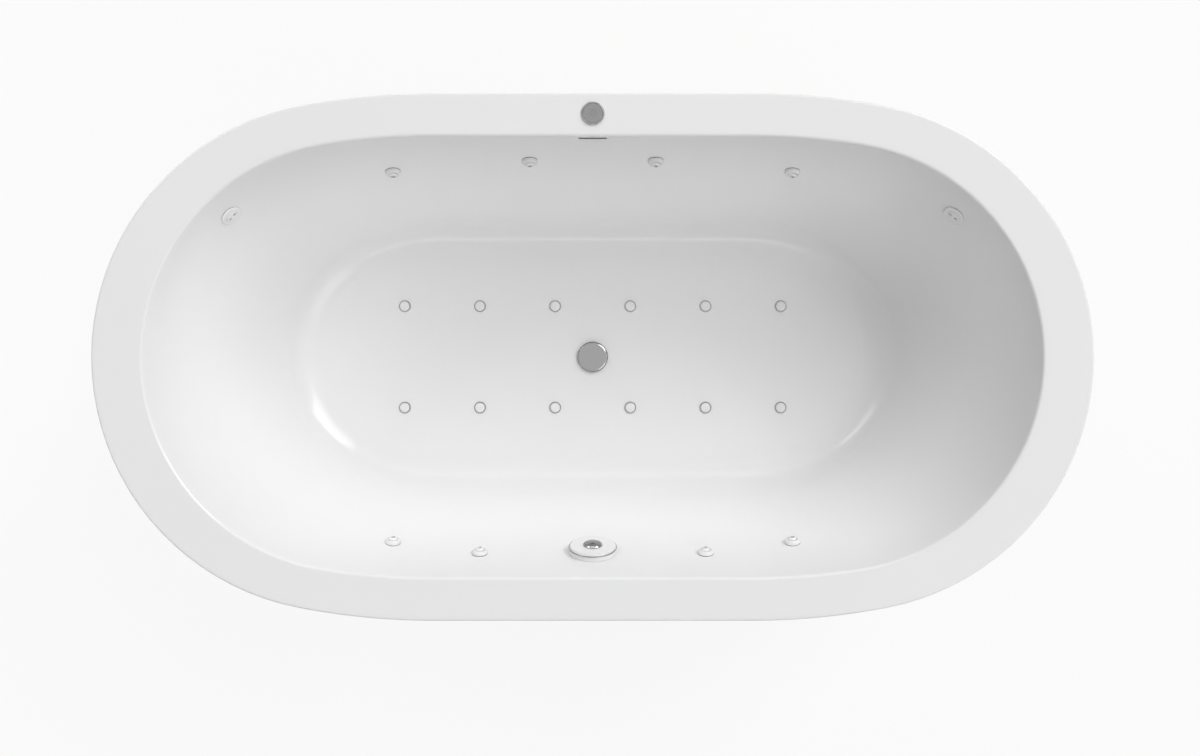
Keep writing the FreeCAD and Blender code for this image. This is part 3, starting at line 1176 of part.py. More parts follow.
def control_pieces():
    """The control box with its mains gland, and the air tube from the button."""
    low = ("box_low_x", "box_low_y", "box_bottom")
    size = ("box_length", "box_depth", "box_height")
    case = box("box_case", low, size)
    hollow = box("box_hollow", [f"{text}+box_wall" for text in low], [f"{text}-2*box_wall" for text in size])
    middle = ("box_low_x+box_length/2", "box_low_y+box_depth/2")
    gland = cylinder("mains_gland", "gland_radius", "gland_length", (*middle, "box_bottom-gland_length"))
    gland_bore = cylinder("mains_gland_bore", "gland_bore", "gland_length+box_wall",
                          (*middle, "box_bottom-gland_length"))
    tools = grouped("box_tools", [hollow, gland_bore])
    node("control_box", cut("control_box", fused("box_whole", [case, gland]), tools))
    start = value("chamber_bottom+10")
    along = value("button_y")
    lid = value("box_bottom+box_height")
    route = rounded_route([(-22, along, start), (-80, along, start), (-200, 445, start - 40),
                           (-200, 445, lid)], 20)
    node("air_switch_tube", pipe("air_switch_tube", route, "3", "1.6"))


# ---------------------------------------------------------------- build, check and write

def check_and_write():
    """Stops on any failed or invalid piece, then writes each node to its own file."""
    DOC.recompute()
    for item in DOC.Objects:
        if "Invalid" in item.State or "Error" in item.State:
            raise RuntimeError(f"{item.Label}: {item.State}")
    os.makedirs("parts", exist_ok=True)
    for piece in NODES:
        shape = piece.Shape
        if shape.isNull() or not shape.isValid() or not shape.Solids:
            raise RuntimeError(f"{piece.Label}: its shape isn't a valid solid")
        shape.exportStep(f"parts/{piece.Label}.step")
        print(f"{piece.Label:22s} solids {len(shape.Solids):3d}  volume {shape.Volume / 1000:10.2f} cm3")
    print(len(NODES), "nodes")


def build():
    """Builds the whole tub in the order it is put together."""
    backing, hollow = shell_pieces()
    base_board()
    support_frame()
    rim_battens()
    feet()
    waste_pieces()
    overflow_pieces(backing)
    jet_pieces(hollow)
    water_ring_main()
    air_pieces()
    suction_pieces()
    pump_pieces()
    blower_pieces()
    machine_screws()
    button_pieces()
    control_pieces()
    check_and_write()


build()
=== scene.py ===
"""An oval jetted bathtub: its shell, fittings, pipework and machines, dressed and lit for a plan view."""

import json
import logging
import math
from dataclasses import dataclass, field
from enum import Enum

import bmesh
import bpy
from mathutils import Matrix, Vector

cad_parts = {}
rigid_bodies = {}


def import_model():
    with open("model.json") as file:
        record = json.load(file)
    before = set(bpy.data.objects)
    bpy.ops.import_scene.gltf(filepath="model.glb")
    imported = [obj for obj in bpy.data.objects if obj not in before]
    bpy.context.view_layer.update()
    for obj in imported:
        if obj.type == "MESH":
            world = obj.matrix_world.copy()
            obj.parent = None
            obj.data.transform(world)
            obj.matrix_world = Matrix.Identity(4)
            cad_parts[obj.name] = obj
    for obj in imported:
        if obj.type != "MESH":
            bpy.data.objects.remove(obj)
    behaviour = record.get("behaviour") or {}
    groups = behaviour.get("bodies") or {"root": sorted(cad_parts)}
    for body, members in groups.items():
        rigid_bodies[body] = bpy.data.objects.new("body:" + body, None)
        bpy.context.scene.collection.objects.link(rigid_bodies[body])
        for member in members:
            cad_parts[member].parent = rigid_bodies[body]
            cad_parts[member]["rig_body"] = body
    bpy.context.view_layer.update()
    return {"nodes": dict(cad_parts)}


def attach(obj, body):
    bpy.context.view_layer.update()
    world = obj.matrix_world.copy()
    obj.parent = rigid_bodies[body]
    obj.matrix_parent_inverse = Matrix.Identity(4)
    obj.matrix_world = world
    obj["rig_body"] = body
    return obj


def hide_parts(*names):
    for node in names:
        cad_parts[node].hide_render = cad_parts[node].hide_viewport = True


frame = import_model()
LOG = logging.getLogger("jetted_bathtub")
MM = 0.001
UP = Vector((0.0, 0.0, 1.0))
TUB = "tub"


class Wall(Enum):
    """The long side of the well that a fitting sits on; its value is the sign of Y there."""

    BACK = 1
    FRONT = -1


# ------------------------------------------------------------------------------ node trees


@dataclass
class Recipe:
    """A material under construction: its node tree and its main shader."""

    name: str
    material: bpy.types.Material = field(init=False)
    tree: bpy.types.NodeTree = field(init=False)
    shader: bpy.types.Node = field(init=False)
    place: bpy.types.NodeSocket = field(init=False)

    def __post_init__(self) -> None:
        """Starts the material with a main shader and object coordinates."""
        self.material = bpy.data.materials.new(self.name)
        self.material.use_nodes = True
        self.tree = self.material.node_tree
        self.shader = self.tree.nodes["Principled BSDF"]
        self.place = self.add("ShaderNodeTexCoord").outputs["Object"]

    def add(self, kind: str, **settings: object) -> bpy.types.Node:
        """Adds a node.

        Args:
            kind: the node's type.
            settings: its properties.

        Returns:
            The new node.
        """
        made = self.tree.nodes.new(kind)
        for name, setting in settings.items():
            setattr(made, name, setting)
        return made

    def link(self, output: bpy.types.NodeSocket, target: bpy.types.NodeSocket) -> None:
        """Joins an output to an input."""
        self.tree.links.new(output, target)

    def stretched(self, scale: tuple[float, float, float]) -> bpy.types.NodeSocket:
        """Object coordinates scaled apart on each axis.

        Args:
            scale: the factor on X, Y and Z.

        Returns:
            The stretched coordinates.
        """
        mapping = self.add("ShaderNodeMapping")
        mapping.inputs["Scale"].default_value = scale
        self.link(self.place, mapping.inputs["Vector"])
        return mapping.outputs["Vector"]

    def noise(self, scale: float, detail: float = 3.0, rough: float = 0.5,
              place: bpy.types.NodeSocket | None = None) -> bpy.types.NodeSocket:
        """Fractal noise over the piece.

        Args:
            scale: features per metre.
            detail: octaves.
            rough: strength of the finer octaves.
            place: coordinates other than the plain ones.

        Returns:
            The noise, from 0 to 1.
        """
        made = self.add("ShaderNodeTexNoise")
        made.inputs["Scale"].default_value = scale
        made.inputs["Detail"].default_value = detail
        made.inputs["Roughness"].default_value = rough
        self.link(place or self.place, made.inputs["Vector"])
        return made.outputs["Fac"]

    def cells(self, scale: float, feature: str = "F1", output: str = "Distance",
              place: bpy.types.NodeSocket | None = None) -> bpy.types.NodeSocket:
        """A cellular pattern over the piece.

        Args:
            scale: cells per metre.
            feature: the kind of distance.
            output: the socket that is wanted.
            place: coordinates other than the plain ones.

        Returns:
            The chosen socket of the pattern.
        """
        made = self.add("ShaderNodeTexVoronoi", feature=feature)
        made.inputs["Scale"].default_value = scale
        self.link(place or self.place, made.inputs["Vector"])
        return made.outputs[output]

    def ranged(self, source: bpy.types.NodeSocket, low: float, high: float,
               start: float = 0.0, stop: float = 1.0) -> bpy.types.NodeSocket:
        """A value spread between two limits.

        Args:
            source: the value.
            low: the result at start.
            high: the result at stop.
            start: where the spread begins.
            stop: where it ends.

        Returns:
            The spread value.
        """
        made = self.add("ShaderNodeMapRange")
        made.inputs["From Min"].default_value = start
        made.inputs["From Max"].default_value = stop
        made.inputs["To Min"].default_value = low
        made.inputs["To Max"].default_value = high
        self.link(source, made.inputs["Value"])
        return made.outputs["Result"]

    def ramp(self, source: bpy.types.NodeSocket,
             *stops: tuple[float, tuple[float, ...]]) -> bpy.types.NodeSocket:
        """Colours along a value.

        Args:
            source: the value from 0 to 1.
            stops: places with their colours.

        Returns:
            The colour.
        """
        made = self.add("ShaderNodeValToRGB")
        ramp = made.color_ramp
        while len(ramp.elements) < len(stops):
            ramp.elements.new(0.5)
        for element, (position, colour) in zip(ramp.elements, stops):
            element.position = position
            element.color = (*colour, 1.0)
        self.link(source, made.inputs["Fac"])
        return made.outputs["Color"]

    def bump(self, height: bpy.types.NodeSocket, distance: float, strength: float = 1.0) -> None:
        """Relief on the main shader.

        Args:
            height: the relief from 0 to 1.
            distance: its depth in metres.
            strength: how strongly it shows.
        """
        made = self.add("ShaderNodeBump")
        made.inputs["Distance"].default_value = distance
        made.inputs["Strength"].default_value = strength
        self.link(height, made.inputs["Height"])
        earlier = self.shader.inputs["Normal"]
        if earlier.is_linked:
            self.link(earlier.links[0].from_socket, made.inputs["Normal"])
        self.link(made.outputs["Normal"], earlier)

    def set(self, **sockets: object) -> None:
        """Uniform values on the main shader's own sockets; an underscore stands for a space."""
        for name, value in sockets.items():
            self.shader.inputs[name.replace("_", " ")].default_value = value


def grey(level: float, warmth: float = 0.0) -> tuple[float, float, float]:
    """A grey, warmer or cooler by a small share."""
    return (level * (1.0 + warmth), level, level * (1.0 - warmth))


# ------------------------------------------------------------------------------ finishes


@dataclass(frozen=True)
class Finish:
    """What all finishes share: a name, a colour and a gloss."""

    name: str
    colour: tuple[float, float, float]
    rough: float = 0.4

    def make(self) -> bpy.types.Material:
        """Builds the material.

        Returns:
            The finished material.
        """
        recipe = Recipe(self.name)
        recipe.set(Base_Color=(*self.colour, 1.0), Roughness=self.rough)
        self.pattern(recipe)
        return recipe.material

    def shared(self) -> bpy.types.Material:
        """The finish's one material, made on its first use."""
        return bpy.data.materials.get(self.name) or self.make()

    def pattern(self, recipe: Recipe) -> None:
        """Adds what is special to the finish."""

    def shaded(self, level: float) -> tuple[float, float, float]:
        """The finish's colour, lighter or darker by a factor."""
        return tuple(min(1.0, part * level) for part in self.colour)


@dataclass(frozen=True)
class SanitaryAcrylic(Finish):
    """Thermoformed glossy acrylic: a long faint waviness under a polished skin."""

    wave: float = 0.00006

    def pattern(self, recipe: Recipe) -> None:
        """Waviness, a trace of tone and fine wiping marks in the gloss.

        Args:
            recipe: the material under construction.
        """
        tone = recipe.noise(3.0, 2.0)
        recipe.link(recipe.ramp(tone, (0.3, self.shaded(0.993)), (0.7, self.shaded(1.004))),
                    recipe.shader.inputs["Base Color"])
        marks = recipe.noise(40.0, 5.0, 0.6, recipe.stretched((1.0, 3.0, 1.0)))
        recipe.link(recipe.ranged(marks, self.rough - 0.01, self.rough + 0.015, 0.35, 0.65),
                    recipe.shader.inputs["Roughness"])
        recipe.set(Specular_IOR_Level=0.42, IOR=1.49)
        recipe.bump(recipe.noise(14.0, 2.0), self.wave)


@dataclass(frozen=True)
class GlassFibre(Finish):
    """Chopped-strand laminate: crossing fibres under resin, rough to the touch."""

    def pattern(self, recipe: Recipe) -> None:
        """Strands in two directions, blotches of resin and a coarse relief.

        Args:
            recipe: the material under construction.
        """
        strands = recipe.noise(90.0, 6.0, 0.7, recipe.stretched((1.0, 7.0, 1.0)))
        across = recipe.noise(90.0, 6.0, 0.7, recipe.stretched((7.0, 1.0, 3.0)))
        woven = recipe.add("ShaderNodeMath", operation="MAXIMUM")
        recipe.link(strands, woven.inputs[0])
        recipe.link(across, woven.inputs[1])
        both = woven.outputs[0]
        tone = recipe.ramp(both, (0.42, self.shaded(0.78)), (0.56, self.shaded(1.0)),
                           (0.7, self.shaded(1.15)))
        recipe.link(tone, recipe.shader.inputs["Base Color"])
        recipe.link(recipe.ranged(recipe.noise(18.0), 0.35, 0.7), recipe.shader.inputs["Roughness"])
        recipe.bump(both, 0.0009, 0.8)
        recipe.bump(recipe.noise(22.0, 2.0), 0.002, 0.5)


@dataclass(frozen=True)
class Chipboard(Finish):
    """Pressed wood chips, sealed with a thin coat of resin."""

    chip: float = 130.0

    def pattern(self, recipe: Recipe) -> None:
        """Flat chips of several browns with their edges in relief.

        Args:
            recipe: the material under construction.
        """
        flake = recipe.cells(self.chip, output="Color", place=recipe.stretched((1.0, 2.2, 2.2)))
        split = recipe.add("ShaderNodeSeparateColor")
        recipe.link(flake, split.inputs["Color"])
        recipe.link(recipe.ramp(split.outputs["Red"], (0.0, self.shaded(0.62)), (0.5, self.shaded(0.95)),
                                (1.0, self.shaded(1.22))), recipe.shader.inputs["Base Color"])
        recipe.bump(recipe.cells(self.chip, place=recipe.stretched((1.0, 2.2, 2.2))), 0.0006, 0.6)


@dataclass(frozen=True)
class PineBatten(Finish):
    """Sawn softwood with its grain along X."""

    def pattern(self, recipe: Recipe) -> None:
        """Growth rings drawn out along the batten, with a fine sawn relief.

        Args:
            recipe: the material under construction.
        """
        rings = recipe.add("ShaderNodeTexWave", wave_type="BANDS", bands_direction="Y")
        rings.inputs["Scale"].default_value = 55.0
        rings.inputs["Distortion"].default_value = 5.0
        rings.inputs["Detail"].default_value = 3.0
        rings.inputs["Detail Scale"].default_value = 0.6
        recipe.link(recipe.stretched((0.06, 1.0, 1.0)), rings.inputs["Vector"])
        recipe.link(recipe.ramp(rings.outputs["Fac"], (0.1, self.shaded(1.12)), (0.75, self.shaded(0.9)),
                                (1.0, self.shaded(0.66))), recipe.shader.inputs["Base Color"])
        recipe.bump(recipe.noise(600.0, 3.0, 0.6, recipe.stretched((0.05, 1.0, 1.0))), 0.0003, 0.7)


@dataclass(frozen=True)
class PowderCoat(Finish):
    """Baked powder paint over steel, with its orange-peel skin."""

    def pattern(self, recipe: Recipe) -> None:
        """Orange peel, a slow drift in the tone, and uneven gloss.

        Args:
            recipe: the material under construction.
        """
        recipe.link(recipe.ramp(recipe.noise(9.0, 4.0), (0.3, self.shaded(0.9)), (0.7, self.shaded(1.05))),
                    recipe.shader.inputs["Base Color"])
        recipe.link(recipe.ranged(recipe.noise(30.0), self.rough - 0.08, self.rough + 0.1),
                    recipe.shader.inputs["Roughness"])
        recipe.bump(recipe.noise(420.0, 2.0), 0.0002, 0.5)


@dataclass(frozen=True)
class BareMetal(Finish):
    """Metal with marks along one direction: ground, turned, plated or cast."""

    grain: tuple[float, float, float] = (1.0, 1.0, 12.0)
    grain_scale: float = 160.0
    relief: float = 0.00005
    spread: float = 0.12

    def pattern(self, recipe: Recipe) -> None:
        """Drawn-out marks in tone, gloss and relief on a metal base.

        Args:
            recipe: the material under construction.
        """
        marks = recipe.noise(self.grain_scale, 5.0, 0.65, recipe.stretched(self.grain))
        recipe.link(recipe.ramp(marks, (0.25, self.shaded(0.86)), (0.75, self.shaded(1.06))),
                    recipe.shader.inputs["Base Color"])
        recipe.link(recipe.ranged(marks, self.rough - self.spread / 2, self.rough + self.spread, 0.3, 0.7),
                    recipe.shader.inputs["Roughness"])
        recipe.set(Metallic=1.0)
        recipe.bump(marks, self.relief)


@dataclass(frozen=True)
class Chrome(Finish):
    """Polished chrome plate with the faintest haze of water marks."""

    def pattern(self, recipe: Recipe) -> None:
        """A mirror whose gloss is broken slightly by dried spots.

        Args:
            recipe: the material under construction.
        """
        spots = recipe.cells(90.0)
        recipe.link(recipe.ranged(spots, self.rough + 0.035, self.rough, 0.05, 0.3),
                    recipe.shader.inputs["Roughness"])
        recipe.set(Metallic=1.0)
        recipe.bump(recipe.noise(60.0, 2.0), 0.00002)


@dataclass(frozen=True)
class MouldedPlastic(Finish):
    """Injection-moulded plastic, from polished to finely spark-eroded."""

    grain: float = 900.0
    relief: float = 0.00005

    def pattern(self, recipe: Recipe) -> None:
        """A slight drift of tone, uneven gloss and the tool's fine grain.

        Args:
            recipe: the material under construction.
        """
        recipe.link(recipe.ramp(recipe.noise(12.0, 3.0), (0.3, self.shaded(0.97)), (0.7, self.shaded(1.02))),
                    recipe.shader.inputs["Base Color"])
        recipe.link(recipe.ranged(recipe.noise(45.0, 4.0), self.rough - 0.04, self.rough + 0.06),
                    recipe.shader.inputs["Roughness"])
        recipe.bump(recipe.noise(self.grain, 2.0), self.relief)


@dataclass(frozen=True)
class SealRubber(MouldedPlastic):
    """Matt black rubber with a bloom on its surface."""

    def pattern(self, recipe: Recipe) -> None:
        """The bloom, then the plain moulded grain.

        Args:
            recipe: the material under construction.
        """
        super().pattern(recipe)
        recipe.set(Sheen_Weight=0.15)


@dataclass(frozen=True)
class ClearHose(Finish):
    """Soft clear tube, slightly milky."""

    def pattern(self, recipe: Recipe) -> None:
        """Light passes through the wall, and extrusion lines run over it.

        Args:
            recipe: the material under construction.
        """
        recipe.link(recipe.ranged(recipe.noise(200.0, 3.0), self.rough - 0.05, self.rough + 0.08),
                    recipe.shader.inputs["Roughness"])
        recipe.set(Transmission_Weight=0.55, IOR=1.45)
        recipe.bump(recipe.noise(300.0), 0.00004)


ACRYLIC = SanitaryAcrylic("white_acrylic", grey(0.875), 0.14)
CHROME = Chrome("polished_chrome", grey(0.35), 0.04)
FITTING = MouldedPlastic("glossy_fitting", grey(0.86), 0.16, relief=0.00001)
BUTTON = MouldedPlastic("button_face", grey(0.30), 0.22, relief=0.00001)

NODE_FINISHES: dict[Finish, tuple[str, ...]] = {
    GlassFibre("glass_fibre", (0.66, 0.64, 0.52), 0.5): ("glass_fibre_backing",),
    Chipboard("chipboard", (0.52, 0.36, 0.20), 0.6): ("base_board",),
    PineBatten("pine", (0.66, 0.46, 0.27), 0.65): ("rim_battens",),
    PowderCoat("grey_powder_coat", grey(0.24, -0.02), 0.42): ("support_frame",),
    BareMetal("zinc_plate", (0.62, 0.63, 0.64), 0.28, grain=(1.0, 1.0, 1.0), grain_scale=90.0):
        ("foot_lock_nuts", "machine_screws", "foot_1", "foot_2", "foot_3", "foot_4"),
    BareMetal("ground_stainless", grey(0.60), 0.25, grain=(14.0, 1.0, 14.0), grain_scale=60.0):
        ("pump_shaft", "button_spring"),
    SealRubber("black_rubber", grey(0.02), 0.6): ("plug_seal", "jet_gaskets", "air_check_balls"),
    MouldedPlastic("white_pipe", grey(0.80, 0.01), 0.35):
        ("waste_body", "waste_trap", "overflow_duct", "overflow_pipe", "water_ring_main", "air_manifold",
         "air_riser", "suction_body", "suction_pipe"),
    MouldedPlastic("pale_moulding", grey(0.62, 0.02), 0.45, grain=500.0, relief=0.0001):
        ("jet_nuts", "jet_housings", "air_jet_nuts", "pump_impeller", "blower_impeller"),
    MouldedPlastic("black_moulding", grey(0.025), 0.42, grain=500.0, relief=0.00015):
        ("pump_volute", "pump_fan", "pump_fan_cover", "blower_housing", "blower_lid",
         "button_air_chamber"),
    BareMetal("cast_aluminium", (0.50, 0.52, 0.54), 0.5, grain=(1.0, 1.0, 1.0), grain_scale=350.0,
              relief=0.0003): ("pump_motor",),
    MouldedPlastic("grey_moulding", grey(0.32, -0.03), 0.48, grain=500.0, relief=0.0001): ("control_box",),
    ClearHose("clear_hose", (0.80, 0.84, 0.86), 0.15): ("air_switch_tube",),
    FITTING: ("side_jet_sockets", "end_jet_sockets", "air_jet_caps", "suction_cover",
              *(f"side_nozzle_{number}" for number in range(1, 9)), "end_rotor_1", "end_rotor_2"),
    CHROME: ("air_jet_bodies", "drain_flange", "drain_plug", "suction_trim_ring", "suction_centre_cap",
             "button_bezel"),
    BUTTON: ("button_cap",),
}


def smoothing_group(limit: float) -> bpy.types.NodeTree:
    """Welds a piece's loose triangles and shades it smooth up to an angle.

    Args:
        limit: the angle in degrees past which an edge stays sharp.

    Returns:
        The node group for a modifier.
    """
    group = bpy.data.node_groups.new("weld_and_smooth", "GeometryNodeTree")
    group.interface.new_socket("Geometry", in_out="INPUT", socket_type="NodeSocketGeometry")
    group.interface.new_socket("Geometry", in_out="OUTPUT", socket_type="NodeSocketGeometry")
    entry = group.nodes.new("NodeGroupInput")
    leave = group.nodes.new("NodeGroupOutput")
    weld = group.nodes.new("GeometryNodeMergeByDistance")
    weld.inputs["Distance"].default_value = 0.000002
    faces = group.nodes.new("GeometryNodeSetShadeSmooth")
    faces.domain = "FACE"
    edges = group.nodes.new("GeometryNodeSetShadeSmooth")
    edges.domain = "EDGE"
    angle = group.nodes.new("GeometryNodeInputMeshEdgeAngle")
    gentle = group.nodes.new("FunctionNodeCompare")
    gentle.operation = "LESS_THAN"
    gentle.inputs["B"].default_value = math.radians(limit)
    for output, target in ((entry.outputs[0], weld.inputs["Geometry"]),
                           (weld.outputs["Geometry"], faces.inputs["Geometry"]),
                           (faces.outputs["Geometry"], edges.inputs["Geometry"]),
                           (angle.outputs["Unsigned Angle"], gentle.inputs["A"]),
                           (gentle.outputs["Result"], edges.inputs["Shade Smooth"]),
                           (edges.outputs["Geometry"], leave.inputs[0])):
        group.links.new(output, target)
    return group


@dataclass
class CadPieces:
    """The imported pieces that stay: each gets a finish and smooth shading."""

    sharp_from: float = 32.0

    def dress(self) -> None:
        """Gives every node its material and its smoothing modifier."""
        group = smoothing_group(self.sharp_from)
        for finish, names in NODE_FINISHES.items():
            material = finish.shared()
            for name in names:
                piece = frame["nodes"][name]
                piece.data.materials.clear()
                piece.data.materials.append(material)
                smooth = piece.modifiers.new("weld_and_smooth", "NODES")
                smooth.node_group = group
            LOG.info("%s on %d pieces", finish.name, len(names))


# ------------------------------------------------------------------------------ mesh helpers


def finished(name: str, mesh: bmesh.types.BMesh, material: bpy.types.Material,
             body: str = TUB) -> bpy.types.Object:
    """Turns a bmesh into a piece that rides on a body.

    Args:
        name: the piece's name.
        mesh: its geometry, in place; it is freed.
        material: its finish.
        body: the body it moves with.

    Returns:
        The new object, at the origin.
    """
    data = bpy.data.meshes.new(name)
    mesh.to_mesh(data)
    mesh.free()
    data.materials.append(material)
    data.shade_smooth()
    piece = bpy.data.objects.new(name, data)
    bpy.context.scene.collection.objects.link(piece)
    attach(piece, body)
    return piece


# ------------------------------------------------------------------------------ the shell


@dataclass(frozen=True)
class Oval:
    """A three-centred oval: half sizes, half straight and end radius, all in metres."""

    length: float
    width: float
    straight: float
    tip: float

    def places(self, steps: tuple[int, int, int]) -> list[tuple[Vector, Vector]]:
        """Points round the oval with their outward directions.

        Args:
            steps: how many steps the end arc, a shoulder and a straight side take.

        Returns:
            The points, anticlockwise from the right-hand end.
        """
        reach = self.length - self.tip - self.straight
        shoulder = (reach ** 2 + self.width ** 2 - self.tip ** 2) / (2 * (self.width - self.tip))
        turn = math.atan2(shoulder - self.width, reach)
        tips, shoulders, sides = steps
        quarter = []
        for step in range(tips // 2):
            quarter.append((self.length - self.tip, 0.0, self.tip, turn * step / (tips // 2)))
        for step in range(shoulders):
            angle = turn + (math.pi / 2 - turn) * step / shoulders
            quarter.append((self.straight, self.width - shoulder, shoulder, angle))
        points = []
        for across, along, radius, angle in quarter:
            out = Vector((math.cos(angle), math.sin(angle), 0.0))
            points.append((Vector((across, along, 0.0)) + out * radius, out))
        for step in range(sides // 2 + 1):
            across = self.straight * (1 - step / (sides // 2))
            points.append((Vector((across, self.width, 0.0)), Vector((0.0, 1.0, 0.0))))
        left = [(Vector((-point.x, point.y, 0.0)), Vector((-out.x, out.y, 0.0)))
                for point, out in reversed(points[:-1])]
        upper = points + left
        lower = [(Vector((-point.x, -point.y, 0.0)), -out) for point, out in upper[1:-1]]
        front_tip = [(Vector((-upper[0][0].x, 0.0, 0.0)), Vector((-1.0, 0.0, 0.0)))]
        return upper[:-1] + front_tip + lower


@dataclass
class TubShell:
    """The acrylic shell: deck, turned-down lip and sloping well with a rounded floor, and its holes."""

    rim: Oval = Oval(0.950, 0.500, 0.300, 0.484)
    well_length: float = 0.854
    well_width: float = 0.418
    well_straight: float = 0.300
    rim_height: float = 0.580
    well_depth: float = 0.430
    end_run: float = 0.200
    end_lean: float = 0.80
    side_run: float = 0.142
    side_lean: float = 0.648
    lip: float = 0.040
    outer_round: float = 0.004
    edge_round: float = 0.006
    floor_round: float = 0.080
    thickness: float = 0.005
    steps: tuple[int, int, int] = (40, 30, 24)
    drill_segments: int = 48
    drill_length: float = 0.06

    def section(self, share: float) -> Oval:
        """The well's outline at a share of its depth."""
        length = self.well_length - self.end_run * (self.end_lean * share + (1 - self.end_lean) * share ** 2)
        width = self.well_width - self.side_run * (self.side_lean * share + (1 - self.side_lean) * share ** 2)
        return Oval(length, width, self.well_straight + 0.030 * share, width - 0.012 - 0.008 * share)

    def wall_columns(self, samples: int = 60) -> list[list[Vector]]:
        """The bare wall below each place round the well.

        Args:
            samples: how many levels each column has.

        Returns:
            A column of points for each place, from the deck to the floor.
        """
        levels = []
        for step in range(samples + 1):
            share = step / samples
            height = self.rim_height - share * self.well_depth
            levels.append([point + UP * height for point, _ in self.section(share).places(self.steps)])
        return [list(column) for column in zip(*levels)]

    def profile(self, column: list[Vector], out: Vector) -> list[Vector]:
        """One column with its rounded edge at the deck and its rounded foot at the floor.

        Args:
            column: the bare wall from the deck to the floor.
            out: the outward direction there.

        Returns:
            Points from the deck, down the wall and onto the floor.
        """
        points = self.rounded(column[0] + out * 0.02, column[0], column[1], self.edge_round, 6)
        steep = math.atan2((column[-2] - column[-1]).dot(out), (column[-2] - column[-1]).z)
        setback = self.floor_round * math.tan((math.pi / 2 - steep) / 2)
        for index in range(2, len(column) - 1, 2):
            if (column[index] - column[-1]).length > setback * 1.06:
                points.append(column[index])
        points += self.rounded(column[-3], column[-1], column[-1] - out * 0.05, self.floor_round, 14)
        return points

    @staticmethod
    def rounded(before: Vector, corner: Vector, after: Vector, radius: float, steps: int) -> list[Vector]:
        """An arc that rounds a corner.

        Args:
            before: a point on the way in.
            corner: the corner.
            after: a point on the way out.
            radius: the arc's radius.
            steps: how many steps it takes.

        Returns:
            The points of the arc, both ends included.
        """
        inward = (corner - before).normalized()
        onward = (after - corner).normalized()
        turn = inward.angle(onward)
        start = corner - inward * radius * math.tan(turn / 2)
        axis = inward.cross(onward).normalized()
        centre = start + axis.cross(inward) * radius
        return [centre + Matrix.Rotation(turn * step / steps, 3, axis) @ (start - centre)
                for step in range(steps + 1)]

    def skin(self) -> bmesh.types.BMesh:
        """The visible surface, from the lip over the deck and down to the floor.

        Returns:
            The surface as a sheet of quads with a flat floor.
        """
        places = self.section(0.0).places(self.steps)
        columns = [self.profile(column, out) for column, (_, out) in zip(self.wall_columns(), places)]
        short = min(len(column) for column in columns)
        rim = self.rim.places(self.steps)
        rings = []
        top = self.rim_height
        rings.append([point + UP * (top - self.lip) for point, _ in rim])
        rings.append([point + UP * (top - self.lip / 2) for point, _ in rim])
        for step in range(7):
            angle = math.pi / 2 * step / 6
            inset = self.outer_round * (1 - math.cos(angle))
            drop = self.outer_round * (1 - math.sin(angle))
            rings.append([point - out * inset + UP * (top - drop) for point, out in rim])
        for share in (0.06, 0.5, 0.94):
            ring = []
            for (edge, out), column in zip(rim, columns):
                inner = Vector((column[0].x, column[0].y, 0.0))
                ring.append((edge - out * self.outer_round).lerp(inner, share) + UP * top)
            rings.append(ring)
        for index in range(short):
            rings.append([column[index] for column in columns])
        return self.lofted(rings)

    @staticmethod
    def lofted(rings: list[list[Vector]]) -> bmesh.types.BMesh:
        """A sheet through rings of points, closed by a flat face in the last one.

        Args:
            rings: the rings, all with as many points.

        Returns:
            The sheet.
        """
        mesh = bmesh.new()
        count = len(rings[0])
        bmesh.ops.create_circle(mesh, cap_ends=False, segments=count, radius=1.0)
        ring = list(mesh.verts)
        edges = list(mesh.edges)
        for vertex, place in zip(ring, rings[0]):
            vertex.co = place
        for places in rings[1:]:
            made = bmesh.ops.extrude_edge_only(mesh, edges=edges)["geom"]
            edges = [item for item in made if isinstance(item, bmesh.types.BMEdge)]
            fresh = [item for item in made if isinstance(item, bmesh.types.BMVert)]
            order = {}
            for vertex in fresh:
                partner = next(edge.other_vert(vertex) for edge in vertex.link_edges
                               if edge.other_vert(vertex) in ring)
                order[partner] = vertex
            ring = [order[vertex] for vertex in ring]
            for vertex, place in zip(ring, places):
                vertex.co = place
        bmesh.ops.contextual_create(mesh, geom=edges)
        return mesh

    def seat(self, across: float, level: float, wall: Wall) -> Matrix:
        """Where a fitting sits on the wall: Z points into the well and Y up the wall.

        Args:
            across: its place along the tub.
            level: its height above the floor.
            wall: the side it is on.

        Returns:
            The fitting's frame.
        """
        nudge = 0.0005
        slope_x = (self.reach(across + nudge, level) - self.reach(across - nudge, level)) / (2 * nudge)
        slope_z = (self.reach(across, level + nudge) - self.reach(across, level - nudge)) / (2 * nudge)
        inward = Vector((slope_x, -wall.value, slope_z)).normalized()
        climb = (UP - inward * inward.z).normalized()
        turn = Matrix((climb.cross(inward), climb, inward)).transposed().to_4x4()
        return Matrix.Translation((across, wall.value * self.reach(across, level), level)) @ turn

